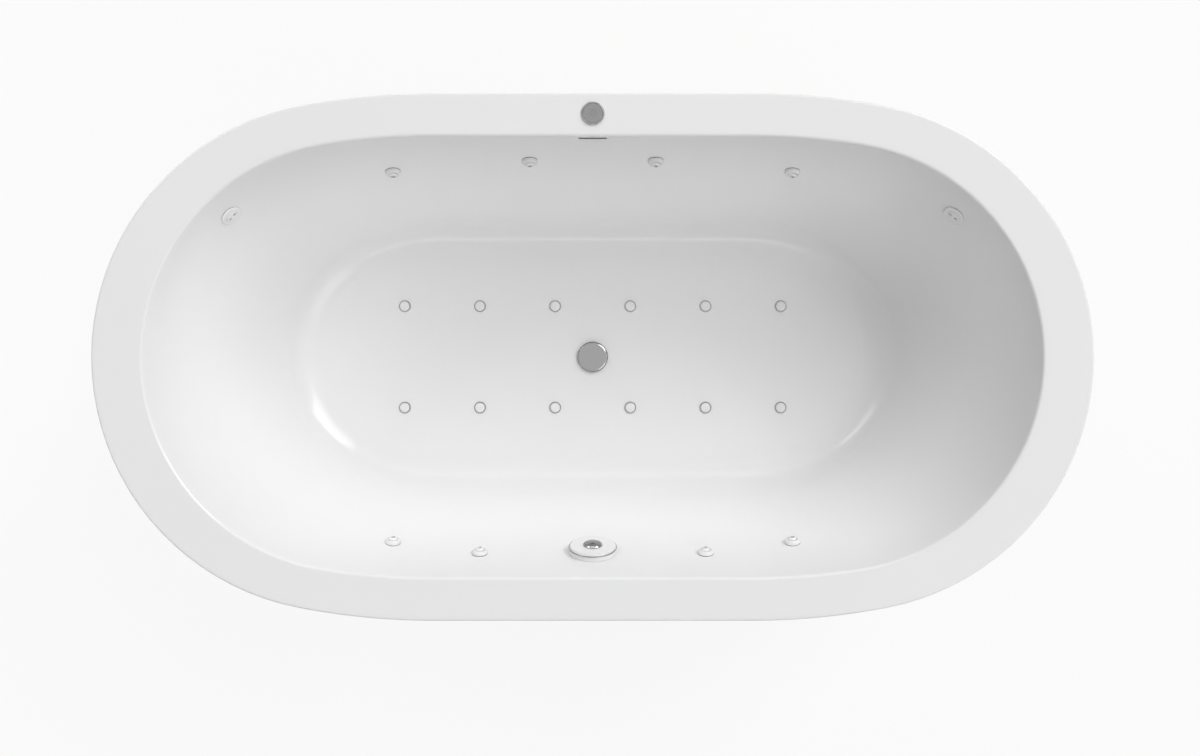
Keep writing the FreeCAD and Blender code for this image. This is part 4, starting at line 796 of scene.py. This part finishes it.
    def reach(self, across: float, level: float) -> float:
        """How far the wall stands from the long axis.

        Args:
            across: the place along the tub.
            level: the height above the floor.

        Returns:
            The distance.
        """
        outline = self.section((self.rim_height - level) / self.well_depth)
        along = abs(across)
        gap = outline.length - outline.tip - outline.straight
        shoulder = (gap ** 2 + outline.width ** 2 - outline.tip ** 2) / (2 * (outline.width - outline.tip))
        turn = math.atan2(shoulder - outline.width, gap)
        if along <= outline.straight:
            return outline.width
        if along <= outline.length - outline.tip + outline.tip * math.cos(turn):
            return outline.width - shoulder + math.sqrt(shoulder ** 2 - (along - outline.straight) ** 2)
        return math.sqrt(outline.tip ** 2 - (along - outline.length + outline.tip) ** 2)

    def drills(self, layout: "Layout") -> bmesh.types.BMesh:
        """Solid tools for every hole through the shell.

        Args:
            layout: where the fittings sit.

        Returns:
            All the tools in one mesh.
        """
        tools = bmesh.new()
        bores = [(seat, layout.jet_bore) for seat in layout.side_jets(self) + layout.end_jets(self)]
        bores.append((layout.suction(self), layout.suction_bore))
        floor = self.rim_height - self.well_depth
        bores += [(Matrix.Translation((*spot, floor)), layout.air_bore) for spot in layout.air_jets()]
        bores.append((Matrix.Translation((0.0, 0.0, floor)), layout.drain_bore))
        bores.append((Matrix.Translation((0.0, layout.button_y, self.rim_height)), layout.button_bore))
        for place, radius in bores:
            bmesh.ops.create_cone(tools, cap_ends=True, segments=self.drill_segments, radius1=radius,
                                  radius2=radius, depth=self.drill_length, matrix=place)
        self.add_slot(tools, layout)
        return tools

    def add_slot(self, tools: bmesh.types.BMesh, layout: "Layout") -> None:
        """The overflow slot's tool: rounded ends, and a lower lip that slopes into the wall.

        Args:
            tools: the mesh that receives it.
            layout: where the slot sits.
        """
        edges = []
        for along, half_width, half_height, lift in layout.slot_sections:
            made = bmesh.ops.create_circle(tools, cap_ends=True, segments=self.drill_segments,
                                           radius=1.0)["verts"]
            for step, vertex in enumerate(made):
                angle = 2 * math.pi * (step + 0.5) / self.drill_segments
                centre = math.copysign(half_width - half_height, math.cos(angle))
                vertex.co = (centre + half_height * math.cos(angle), along,
                             layout.slot_level + lift + half_height * math.sin(angle))
            ring = set(made)
            edges += {edge for vertex in made for edge in vertex.link_edges
                      if edge.other_vert(vertex) in ring}
        bmesh.ops.bridge_loops(tools, edges=edges)
        bmesh.ops.recalc_face_normals(tools, faces=tools.faces)

    def build(self, layout: "Layout", material: bpy.types.Material) -> bpy.types.Object:
        """Makes the shell, drills it and puts it in the place of its node.

        Args:
            layout: where the fittings sit.
            material: its finish.

        Returns:
            The shell.
        """
        sheet = self.skin()
        bmesh.ops.recalc_face_normals(sheet, faces=sheet.faces)
        shell = finished("tub_skin", sheet, material)
        wall = shell.modifiers.new("thickness", "SOLIDIFY")
        wall.thickness = self.thickness
        wall.offset = -1.0
        wall.use_even_offset = True
        whole = applied(shell, "tub_whole")
        tools = finished("drills", self.drills(layout), material)
        cutting = whole.modifiers.new("holes", "BOOLEAN")
        cutting.object = tools
        cutting.solver = "EXACT"
        shape = whole.modifiers.new("true_normals", "DATA_TRANSFER")
        shape.object = shell
        shape.use_loop_data = True
        shape.data_types_loops = {"CUSTOM_NORMAL"}
        shape.loop_mapping = "POLYINTERP_NEAREST"
        piece = applied(whole, "acrylic_tub")
        for scrap in (shell, whole, tools):
            bpy.data.objects.remove(scrap)
        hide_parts("tub_shell")
        return piece


def applied(piece: bpy.types.Object, name: str) -> bpy.types.Object:
    """A new piece with the modifiers of another made real.

    Args:
        piece: the piece with modifiers.
        name: the new piece's name.

    Returns:
        The new piece, on the same body.
    """
    graph = bpy.context.evaluated_depsgraph_get()
    data = bpy.data.meshes.new_from_object(piece.evaluated_get(graph), depsgraph=graph)
    data.name = name
    made = bpy.data.objects.new(name, data)
    bpy.context.scene.collection.objects.link(made)
    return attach(made, piece["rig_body"])


@dataclass(frozen=True)
class Layout:
    """Where the fittings sit and how wide their holes are.

    Each of the slot's sections is its place along Y, half width, half height and lift.
    """

    jet_bore: float = 0.0136
    suction_bore: float = 0.0209
    air_bore: float = 0.0113
    drain_bore: float = 0.0244
    button_bore: float = 0.0211
    button_y: float = 0.4605
    slot_sections: tuple[tuple[float, float, float, float], ...] = (
        (0.405, 0.0326, 0.0109, -0.0042),
        (0.426, 0.0260, 0.0010, 0.0047),
    )
    slot_level: float = 0.56525
    air_pitch: float = 0.169
    air_row: float = 0.114
    inner_level: float = 0.467
    outer_level: float = 0.430
    back_inner: float = 0.125
    front_inner: float = 0.224
    outer: float = 0.403
    end_level: float = 0.503
    end_x: float = 0.707
    suction_level: float = 0.462

    def side_jets(self, shell: TubShell) -> list[Matrix]:
        """The side jets' frames: the back wall from left to right, then the front wall.

        Args:
            shell: the shell whose walls they sit in.

        Returns:
            The eight frames.
        """
        seats = []
        for wall, inner in ((Wall.BACK, self.back_inner), (Wall.FRONT, self.front_inner)):
            for across, level in ((-self.outer, self.outer_level), (-inner, self.inner_level),
                                  (inner, self.inner_level), (self.outer, self.outer_level)):
                seats.append(shell.seat(across, level, wall))
        return seats

    def end_jets(self, shell: TubShell) -> list[Matrix]:
        """The end jets' frames, left and right."""
        return [shell.seat(across, self.end_level, Wall.BACK) for across in (-self.end_x, self.end_x)]

    def suction(self, shell: TubShell) -> Matrix:
        """The suction fitting's frame."""
        return shell.seat(0.0, self.suction_level, Wall.FRONT)

    def air_jets(self) -> list[tuple[float, float]]:
        """The air jets' places on the floor, the back row first."""
        return [((step - 2.5) * self.air_pitch, side * self.air_row) for side in (1, -1) for step in range(6)]


# ------------------------------------------------------------------------------ turned fittings


@dataclass(frozen=True)
class Corner:
    """One corner of a turned profile, in millimetres: radius, height and how far it is rounded."""

    radius: float
    height: float
    rounding: float = 0.0

    @property
    def spot(self) -> Vector:
        """The corner in metres, in the XZ plane."""
        return Vector((self.radius, 0.0, self.height)) * MM


@dataclass(frozen=True)
class Turned:
    """A closed profile turned round Z, with every corner rounded."""

    corners: tuple[Corner, ...]
    segments: int = 72
    arc_steps: int = 5

    def outline(self) -> list[Vector]:
        """The profile with its rounded corners.

        Returns:
            Its points, in order.
        """
        points = []
        count = len(self.corners)
        for index, corner in enumerate(self.corners):
            before = self.corners[index - 1].spot
            after = self.corners[(index + 1) % count].spot
            if not corner.rounding or corner.radius == 0.0:
                points.append(corner.spot)
                continue
            arc = TubShell.rounded(before, corner.spot, after, corner.rounding * MM, self.arc_steps)
            hold = corner.rounding * MM * 0.35
            room_in = (arc[0] - before).length * 0.5
            room_out = (after - arc[-1]).length * 0.5
            points.append(arc[0] + (before - arc[0]).normalized() * min(hold, room_in))
            points += arc
            points.append(arc[-1] + (after - arc[-1]).normalized() * min(hold, room_out))
        return points

    def add_to(self, mesh: bmesh.types.BMesh, place: Matrix) -> None:
        """Turns the profile into a mesh.

        Args:
            mesh: the mesh that receives it.
            place: the frame whose Z is the axis.
        """
        outline = self.outline()
        made = bmesh.ops.create_circle(mesh, cap_ends=False, segments=len(outline), radius=1.0)["verts"]
        for vertex, spot in zip(made, outline):
            vertex.co = spot
        edges = {edge for vertex in made for edge in vertex.link_edges}
        on_axis = [edge for edge in edges if all(vertex.co.x < 1e-7 for vertex in edge.verts)]
        bmesh.ops.delete(mesh, geom=on_axis, context="EDGES")
        turned = [vertex for vertex in made if vertex.is_valid]
        edges = {edge for vertex in turned for edge in vertex.link_edges}
        bmesh.ops.spin(mesh, geom=turned + list(edges), cent=(0.0, 0.0, 0.0), axis=UP, angle=2 * math.pi,
                       steps=self.segments, use_merge=True, use_duplicate=False)
        fresh = self.connected(turned[0])
        poles = [vertex for vertex in fresh if math.hypot(vertex.co.x, vertex.co.y) < 1e-7]
        bmesh.ops.remove_doubles(mesh, verts=poles, dist=1e-6)
        fresh = [vertex for vertex in fresh if vertex.is_valid]
        bmesh.ops.transform(mesh, matrix=place, verts=fresh)

    @staticmethod
    def connected(start: bmesh.types.BMVert) -> list[bmesh.types.BMVert]:
        """Every vertex that edges join to one.

        Args:
            start: the first vertex.

        Returns:
            The vertices.
        """
        seen = {start}
        waiting = [start]
        while waiting:
            vertex = waiting.pop()
            for edge in vertex.link_edges:
                other = edge.other_vert(vertex)
                if other not in seen:
                    seen.add(other)
                    waiting.append(other)
        return list(seen)

    def piece(self, name: str, places: list[Matrix], finish: Finish, body: str = TUB) -> bpy.types.Object:
        """A piece with the turned shape at each place.

        Args:
            name: the piece's name.
            places: the frames of its copies.
            finish: its finish.
            body: the body it moves with.

        Returns:
            The piece.
        """
        mesh = bmesh.new()
        for place in places:
            self.add_to(mesh, place)
        bmesh.ops.recalc_face_normals(mesh, faces=mesh.faces)
        return finished(name, mesh, finish.shared(), body)


def stand_in(piece: bpy.types.Object, node: str) -> None:
    """Lets a piece stand in for a node: hides the node and logs the swap."""
    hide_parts(node)
    LOG.info("%s stands for %s", piece.name, node)


def cut_from(piece: bpy.types.Object, tools: bmesh.types.BMesh, name: str) -> bpy.types.Object:
    """A copy of a piece with tools taken out of it; the piece itself goes.

    Args:
        piece: the piece.
        tools: closed shapes.
        name: the new piece's name.

    Returns:
        The cut piece.
    """
    blades = finished(f"{name}_tools", tools, piece.data.materials[0])
    cutting = piece.modifiers.new("cut", "BOOLEAN")
    cutting.object = blades
    cutting.solver = "EXACT"
    made = applied(piece, name)
    made.modifiers.new("even_shading", "WEIGHTED_NORMAL").keep_sharp = True
    for scrap in (piece, blades):
        bpy.data.objects.remove(scrap)
    return made


@dataclass(frozen=True)
class Drain:
    """The floor drain: a low flange and the domed pop-up plug over it."""

    floor: float = 150.0
    radius: float = 34.2
    flange_top: float = 1.6
    throat: float = 24.0
    throat_bore: float = 21.5
    throat_depth: float = 28.0
    under: float = 3.62
    thickness: float = 7.6
    stem: float = 4.0
    stem_bottom: float = 95.0

    def build(self) -> None:
        """Makes the flange and the plug."""
        top = self.floor + self.flange_top
        flange = Turned((
            Corner(self.throat_bore, self.floor - self.throat_depth, 0.3),
            Corner(self.throat, self.floor - self.throat_depth, 0.3), Corner(self.throat, self.floor),
            Corner(self.radius + 0.4, self.floor), Corner(self.radius - 0.2, top, 0.6),
            Corner(self.throat_bore, top, 0.5)))
        stand_in(flange.piece("drain_ring", [Matrix.Identity(4)], CHROME), "drain_flange")
        low = self.floor + self.under
        plug = Turned((
            Corner(0.0, self.stem_bottom), Corner(self.stem, self.stem_bottom, 0.8),
            Corner(self.stem, low, 0.6), Corner(self.radius - 0.2, low, 0.4),
            Corner(self.radius, low + 0.6, 0.3), Corner(self.radius, low + 0.55 * self.thickness, 2.4),
            Corner(0.90 * self.radius, low + 0.83 * self.thickness, 8.0),
            Corner(0.55 * self.radius, low + 0.96 * self.thickness, 30.0),
            Corner(0.0, low + self.thickness)), segments=96, arc_steps=7)
        piece = plug.piece("pop_up_plug", [Matrix.Identity(4)], CHROME, "drain_plug")
        stand_in(piece, "drain_plug")


@dataclass(frozen=True)
class AirJets:
    """The floor's air jets: a mushroom cap over each plated body."""

    floor: float = 150.0
    cap: float = 10.5
    stem: float = 3.2

    def build(self, layout: Layout) -> None:
        """Makes the twelve caps.

        Args:
            layout: where they sit.
        """
        places = [Matrix.Translation((*spot, 0.0)) for spot in layout.air_jets()]
        low = self.floor + 3.0
        cap = Turned((
            Corner(0.0, self.floor - 11.0), Corner(self.stem, self.floor - 11.0, 0.4),
            Corner(self.stem, low, 0.5), Corner(self.cap, low, 0.3), Corner(self.cap, low + 1.5, 0.8),
            Corner(self.cap - 2.4, low + 3.0, 2.5), Corner(0.0, low + 3.6)), segments=48)
        stand_in(cap.piece("air_jet_mushrooms", places, FITTING), "air_jet_caps")


@dataclass(frozen=True)
class WaterJets:
    """The wall's jets: ball nozzles in ringed sockets, and flat spinning rotors at the ends."""

    tail: float = 13.3
    depth: float = 30.0
    ball: float = 11.0
    centre: float = 3.5
    gap: float = 0.3
    way: float = 4.5
    ring: float = 15.5
    end_ring: float = 21.5
    rotor: float = 12.0
    rotor_way: float = 2.4

    def sphere(self, radius: float, low: float, high: float, steps: int) -> list[Corner]:
        """Corners along a sphere round the nozzle's middle.

        Args:
            radius: the sphere's radius.
            low: the first angle above its equator, in degrees.
            high: the last one.
            steps: how many steps it takes.

        Returns:
            The corners.
        """
        angles = [math.radians(low + (high - low) * step / steps) for step in range(steps + 1)]
        return [Corner(radius * math.cos(angle), self.centre + radius * math.sin(angle)) for angle in angles]

    def build(self, shell: TubShell, layout: Layout) -> None:
        """Makes the sockets, the nozzles and the rotors.

        Args:
            shell: the shell whose walls they sit in.
            layout: where they sit.
        """
        seats = layout.side_jets(shell)
        seat = self.sphere(self.ball + self.gap, 34.0, -41.0, 14)
        socket = Turned((
            Corner(8.5, -self.depth, 0.3), Corner(self.tail, -self.depth, 0.3), Corner(self.tail, 1.0),
            Corner(self.ring, 1.0, 0.2), Corner(self.ring, 3.6, 1.0), Corner(self.tail + 0.3, 7.4, 1.0),
            *seat, Corner(8.5, -4.6)), segments=64)
        stand_in(socket.piece("jet_rings", seats, FITTING), "side_jet_sockets")
        nozzle = Turned((*self.sphere(self.ball, -50.0, 61.0, 22), Corner(self.way, 12.9, 0.3),
                         Corner(self.way, self.centre - 8.4, 0.2)), segments=48)
        for number, place in enumerate(seats, start=1):
            piece = nozzle.piece(f"ball_nozzle_{number}", [place], FITTING, f"side_nozzle_{number}")
            stand_in(piece, f"side_nozzle_{number}")
        ends = layout.end_jets(shell)
        end_socket = Turned((
            Corner(9.5, -self.depth, 0.3), Corner(self.tail, -self.depth, 0.3), Corner(self.tail, 1.2),
            Corner(self.end_ring, 1.2, 0.3), Corner(self.end_ring, 2.7, 0.8),
            Corner(self.end_ring - 1.6, 4.2, 1.2), Corner(self.rotor + 0.3, 4.2, 0.5),
            Corner(self.rotor + 0.3, -12.0, 0.2), Corner(9.5, -12.0, 0.2)))
        stand_in(end_socket.piece("end_rings", ends, FITTING), "end_jet_sockets")
        rotor = Turned((
            Corner(0.0, -11.7), Corner(self.rotor - 1.0, -11.7, 0.5), Corner(self.rotor, -10.2, 0.8),
            Corner(self.rotor, 4.2, 0.7), Corner(self.rotor - 1.2, 5.2, 0.7), Corner(0.0, 5.2)))
        for number, place in enumerate(ends, start=1):
            plain = rotor.piece(f"plain_rotor_{number}", [place], FITTING, f"end_rotor_{number}")
            piece = cut_from(plain, self.rotor_ways(place), f"spin_rotor_{number}")
            stand_in(piece, f"end_rotor_{number}")

    def rotor_ways(self, place: Matrix) -> bmesh.types.BMesh:
        """The two slanting water ways of a rotor, as solid tools.

        Args:
            place: the rotor's frame.

        Returns:
            The tools.
        """
        tools = bmesh.new()
        for sign in (-1, 1):
            heading = Vector((0.0, sign * 0.2, 1.0)).normalized()
            middle = Vector((sign * 6.0, -sign * 3.0, -15.0)) * MM + heading * 15.0 * MM
            turn = UP.rotation_difference(heading).to_matrix().to_4x4()
            bmesh.ops.create_cone(tools, cap_ends=True, segments=32, radius1=self.rotor_way * MM,
                                  radius2=self.rotor_way * MM, depth=30.0 * MM,
                                  matrix=place @ Matrix.Translation(middle) @ turn)
        return tools


@dataclass(frozen=True)
class SuctionFitting:
    """The slotted cover over the pump's suction, with its bright trim and domed centre cap."""

    radius: float = 46.5
    proud: float = 16.0
    wall: float = 3.5
    flange: float = 2.2
    cap: float = 19.0
    slot_width: float = 5.0
    slot_top: float = 9.0
    slot_pitch: float = 15.0
    slots_a_side: int = 5

    def build(self, shell: TubShell, layout: Layout) -> None:
        """Makes the cover, the trim ring and the centre cap.

        Args:
            shell: the shell whose wall they sit on.
            layout: where they sit.
        """
        place = layout.suction(shell)
        inner = self.radius - self.wall
        cover = Turned((
            Corner(0.0, self.proud - self.wall), Corner(inner, self.proud - self.wall, 0.8),
            Corner(inner, self.flange, 0.2), Corner(self.radius, self.flange, 0.3),
            Corner(self.radius, self.proud - 2.2, 2.4), Corner(self.radius - 2.8, self.proud, 3.0),
            Corner(0.0, self.proud)), segments=120)
        whole = cover.piece("plain_cover", [place], FITTING)
        piece = cut_from(whole, self.slots(place), "slotted_cover")
        stand_in(piece, "suction_cover")
        low, high = self.proud - 5.5, self.proud - 3.0
        trim = Turned((
            Corner(self.radius + 0.02, low, 0.2), Corner(self.radius + 1.4, low, 0.6),
            Corner(self.radius + 1.4, high, 0.6), Corner(self.radius + 0.02, high, 0.2)), segments=120)
        stand_in(trim.piece("cover_trim", [place], CHROME), "suction_trim_ring")
        foot = self.proud + 0.01
        cap = Turned((
            Corner(0.0, foot), Corner(self.cap, foot, 0.3), Corner(self.cap, foot + 2.0, 1.2),
            Corner(0.87 * self.cap, foot + 4.5, 4.0), Corner(0.5 * self.cap, foot + 6.0, 12.0),
            Corner(0.0, foot + 6.59)), arc_steps=7)
        stand_in(cap.piece("cover_centre_cap", [place], CHROME), "suction_centre_cap")

    def slots(self, place: Matrix) -> bmesh.types.BMesh:
        """The slots through the lower half of the cover's side, as solid tools.

        Args:
            place: the cover's frame.

        Returns:
            The tools.
        """
        tools = bmesh.new()
        low = self.flange - 1.0
        size = Vector((self.slot_width, 30.0, self.slot_top - low)) * MM
        for step in range(-self.slots_a_side, self.slots_a_side + 1):
            turn = Matrix.Rotation(math.radians(step * self.slot_pitch), 4, "Z")
            shift = Matrix.Translation(Vector((0.0, -self.radius, (self.slot_top + low) / 2)) * MM)
            made = bmesh.ops.create_cube(tools, size=1.0)["verts"]
            bmesh.ops.scale(tools, verts=made, vec=size)
            bmesh.ops.transform(tools, verts=made, matrix=place @ turn @ shift)
        return tools


@dataclass(frozen=True)
class AirButton:
    """The deck's air button: a bright bezel round a grey cap with a faint ring symbol."""

    deck: float = 580.0
    proud: float = 4.0
    bezel: float = 22.3
    tail: float = 20.8
    well: float = 19.3
    stem: float = 5.0
    floor: float = 552.0
    cap: float = 19.0
    outer_mark: float = 6.6
    inner_mark: float = 3.4
    mark_width: float = 1.3
    mark_depth: float = 0.5

    def build(self, layout: Layout) -> None:
        """Makes the bezel and the cap.

        Args:
            layout: where they sit.
        """
        place = Matrix.Translation((0.0, layout.button_y, 0.0))
        top = self.deck + self.proud
        bezel = Turned((
            Corner(self.well, top, 0.3), Corner(self.tail, top, 0.5),
            Corner(self.bezel, self.deck + 1.4, 0.6), Corner(self.bezel, self.deck + 0.02),
            Corner(self.tail, self.deck + 0.02), Corner(self.tail, self.floor, 0.3),
            Corner(self.stem + 0.3, self.floor, 0.2), Corner(self.stem + 0.3, self.floor + 3.0, 0.2),
            Corner(self.well, self.floor + 3.0, 0.3)), segments=96)
        stand_in(bezel.piece("button_surround", [place], CHROME), "button_bezel")
        face = top - 0.3
        under = self.deck - 0.8
        marks = []
        for radius in (self.outer_mark, self.inner_mark):
            far, near = radius + self.mark_width / 2, radius - self.mark_width / 2
            marks += [Corner(far, face, 0.08), Corner(far - 0.1, face - self.mark_depth, 0.05),
                      Corner(near + 0.1, face - self.mark_depth, 0.05), Corner(near, face, 0.08)]
        cap = Turned((
            Corner(0.0, self.floor - 7.0), Corner(self.stem, self.floor - 7.0, 0.4),
            Corner(self.stem, under, 0.5), Corner(self.cap, under, 0.3), Corner(self.cap, face - 0.3, 0.5),
            Corner(self.cap - 0.7, face, 0.8), *marks, Corner(0.0, face)), segments=96)
        piece = cap.piece("grey_button", [place], BUTTON, "button_cap")
        stand_in(piece, "button_cap")


# ------------------------------------------------------------------------------ studio


@dataclass(frozen=True)
class SoftBox:
    """A far square lamp: bearing from +X, height above the horizon, power, side, and if mirrors show it."""

    name: str
    bearing: float
    height: float
    power: float
    side: float = 17.8
    distance: float = 40.0
    mirrored: bool = True
    aim: tuple[float, float, float] = (0.0, 0.0, 0.45)

    def hang(self) -> bpy.types.Object:
        """Adds the lamp to the scene.

        Returns:
            The lamp.
        """
        data = bpy.data.lights.new(self.name, "AREA")
        data.shape = "SQUARE"
        data.size = self.side
        data.energy = self.power
        lamp = bpy.data.objects.new(self.name, data)
        bpy.context.scene.collection.objects.link(lamp)
        turn, climb = math.radians(self.bearing), math.radians(self.height)
        toward = Vector((math.cos(turn) * math.cos(climb), math.sin(turn) * math.cos(climb), math.sin(climb)))
        lamp.location = Vector(self.aim) + toward * self.distance
        lamp.visible_glossy = self.mirrored
        lamp.rotation_euler = toward.to_track_quat("Z", "Y").to_euler()
        return lamp


@dataclass
class Studio:
    """A pale floor, a white sky for camera and mirrors, soft far lamps and a camera straight overhead."""

    camera_height: float = 2.850
    lens: float = 36.0
    sensor: float = 36.0
    image_width: float = 1200.0
    tub_left_of_middle: float = 7.3
    tub_above_middle: float = 21.1
    floor_side: float = 120.0
    white_share: float = 0.88
    lamps: tuple[SoftBox, ...] = (
        SoftBox("low_back_right", 45.0, 28.0, 5500.0),
        SoftBox("high_back_right", 45.0, 50.0, 4250.0),
        SoftBox("overhead", 0.0, 90.0, 4300.0, 40.0, mirrored=False),
        SoftBox("low_back_left", 135.0, 28.0, 3500.0),
        SoftBox("low_front", 270.0, 28.0, 2300.0),
        SoftBox("low_back", 90.0, 28.0, 1604.0),
        SoftBox("high_front_right", 315.0, 50.0, 1582.0),
        SoftBox("low_front_right", 315.0, 28.0, 1546.0),
        SoftBox("high_right", 0.0, 50.0, 291.0),
    )

    def sees_background(self, tree: bpy.types.NodeTree) -> bpy.types.NodeSocket:
        """One for camera, mirror and glass rays, which see the white background.

        Args:
            tree: the tree the nodes go in.

        Returns:
            The share, 0 or 1.
        """
        path = tree.nodes.new("ShaderNodeLightPath")
        total = path.outputs["Is Camera Ray"]
        for name in ("Is Glossy Ray", "Is Transmission Ray"):
            add = tree.nodes.new("ShaderNodeMath")
            add.operation = "MAXIMUM"
            tree.links.new(total, add.inputs[0])
            tree.links.new(path.outputs[name], add.inputs[1])
            total = add.outputs[0]
        return total

    def lay_floor(self) -> None:
        """A pale floor that keeps the tub's shadow under a white background."""
        mesh = bmesh.new()
        bmesh.ops.create_grid(mesh, x_segments=1, y_segments=1, size=self.floor_side / 2)
        recipe = Recipe("studio_floor")
        recipe.set(Base_Color=(*grey(0.82), 1.0), Roughness=0.9, Specular_IOR_Level=0.1)
        white = recipe.add("ShaderNodeEmission")
        white.inputs["Color"].default_value = (1.0, 1.0, 1.0, 1.0)
        share = recipe.add("ShaderNodeMath", operation="MULTIPLY")
        share.inputs[1].default_value = self.white_share
        recipe.link(self.sees_background(recipe.tree), share.inputs[0])
        mix = recipe.add("ShaderNodeMixShader")
        recipe.link(share.outputs[0], mix.inputs["Fac"])
        recipe.link(recipe.shader.outputs[0], mix.inputs[1])
        recipe.link(white.outputs[0], mix.inputs[2])
        recipe.link(mix.outputs[0], recipe.tree.nodes["Material Output"].inputs["Surface"])
        data = bpy.data.meshes.new("studio_floor")
        mesh.to_mesh(data)
        mesh.free()
        data.materials.append(recipe.material)
        floor = bpy.data.objects.new("studio_floor", data)
        bpy.context.scene.collection.objects.link(floor)

    def raise_sky(self) -> None:
        """A dark sky that camera, mirror and glass rays see as white."""
        world = bpy.data.worlds.new("studio_sky")
        world.use_nodes = True
        tree = world.node_tree
        backdrop = tree.nodes["Background"]
        backdrop.inputs["Color"].default_value = (1.0, 1.0, 1.0, 1.0)
        tree.links.new(self.sees_background(tree), backdrop.inputs["Strength"])
        bpy.context.scene.world = world

    def place_camera(self) -> None:
        """The camera, straight above the tub and looking down."""
        data = bpy.data.cameras.new("plan_camera")
        data.lens = self.lens
        data.sensor_width = self.sensor
        data.shift_x = self.tub_left_of_middle / self.image_width
        data.shift_y = -self.tub_above_middle / self.image_width
        camera = bpy.data.objects.new("plan_camera", data)
        camera.location = (0.0, 0.0, self.camera_height)
        bpy.context.scene.collection.objects.link(camera)
        bpy.context.scene.camera = camera

    def set_up(self) -> None:
        """Puts the whole studio in place."""
        self.lay_floor()
        self.raise_sky()
        for lamp in self.lamps:
            lamp.hang()
        self.place_camera()
        bpy.context.scene.view_settings.view_transform = "Standard"


def main() -> None:
    """Builds and dresses every piece, then lights the scene."""
    logging.basicConfig(level=logging.INFO, format="%(message)s")
    Studio().set_up()
    CadPieces().dress()
    layout = Layout()
    shell = TubShell()
    tub = shell.build(layout, ACRYLIC.shared())
    LOG.info("%s has %d faces", tub.name, len(tub.data.polygons))
    Drain().build()
    AirJets().build(layout)
    WaterJets().build(shell, layout)
    SuctionFitting().build(shell, layout)
    AirButton().build(layout)


if __name__ == "__main__":
    main()
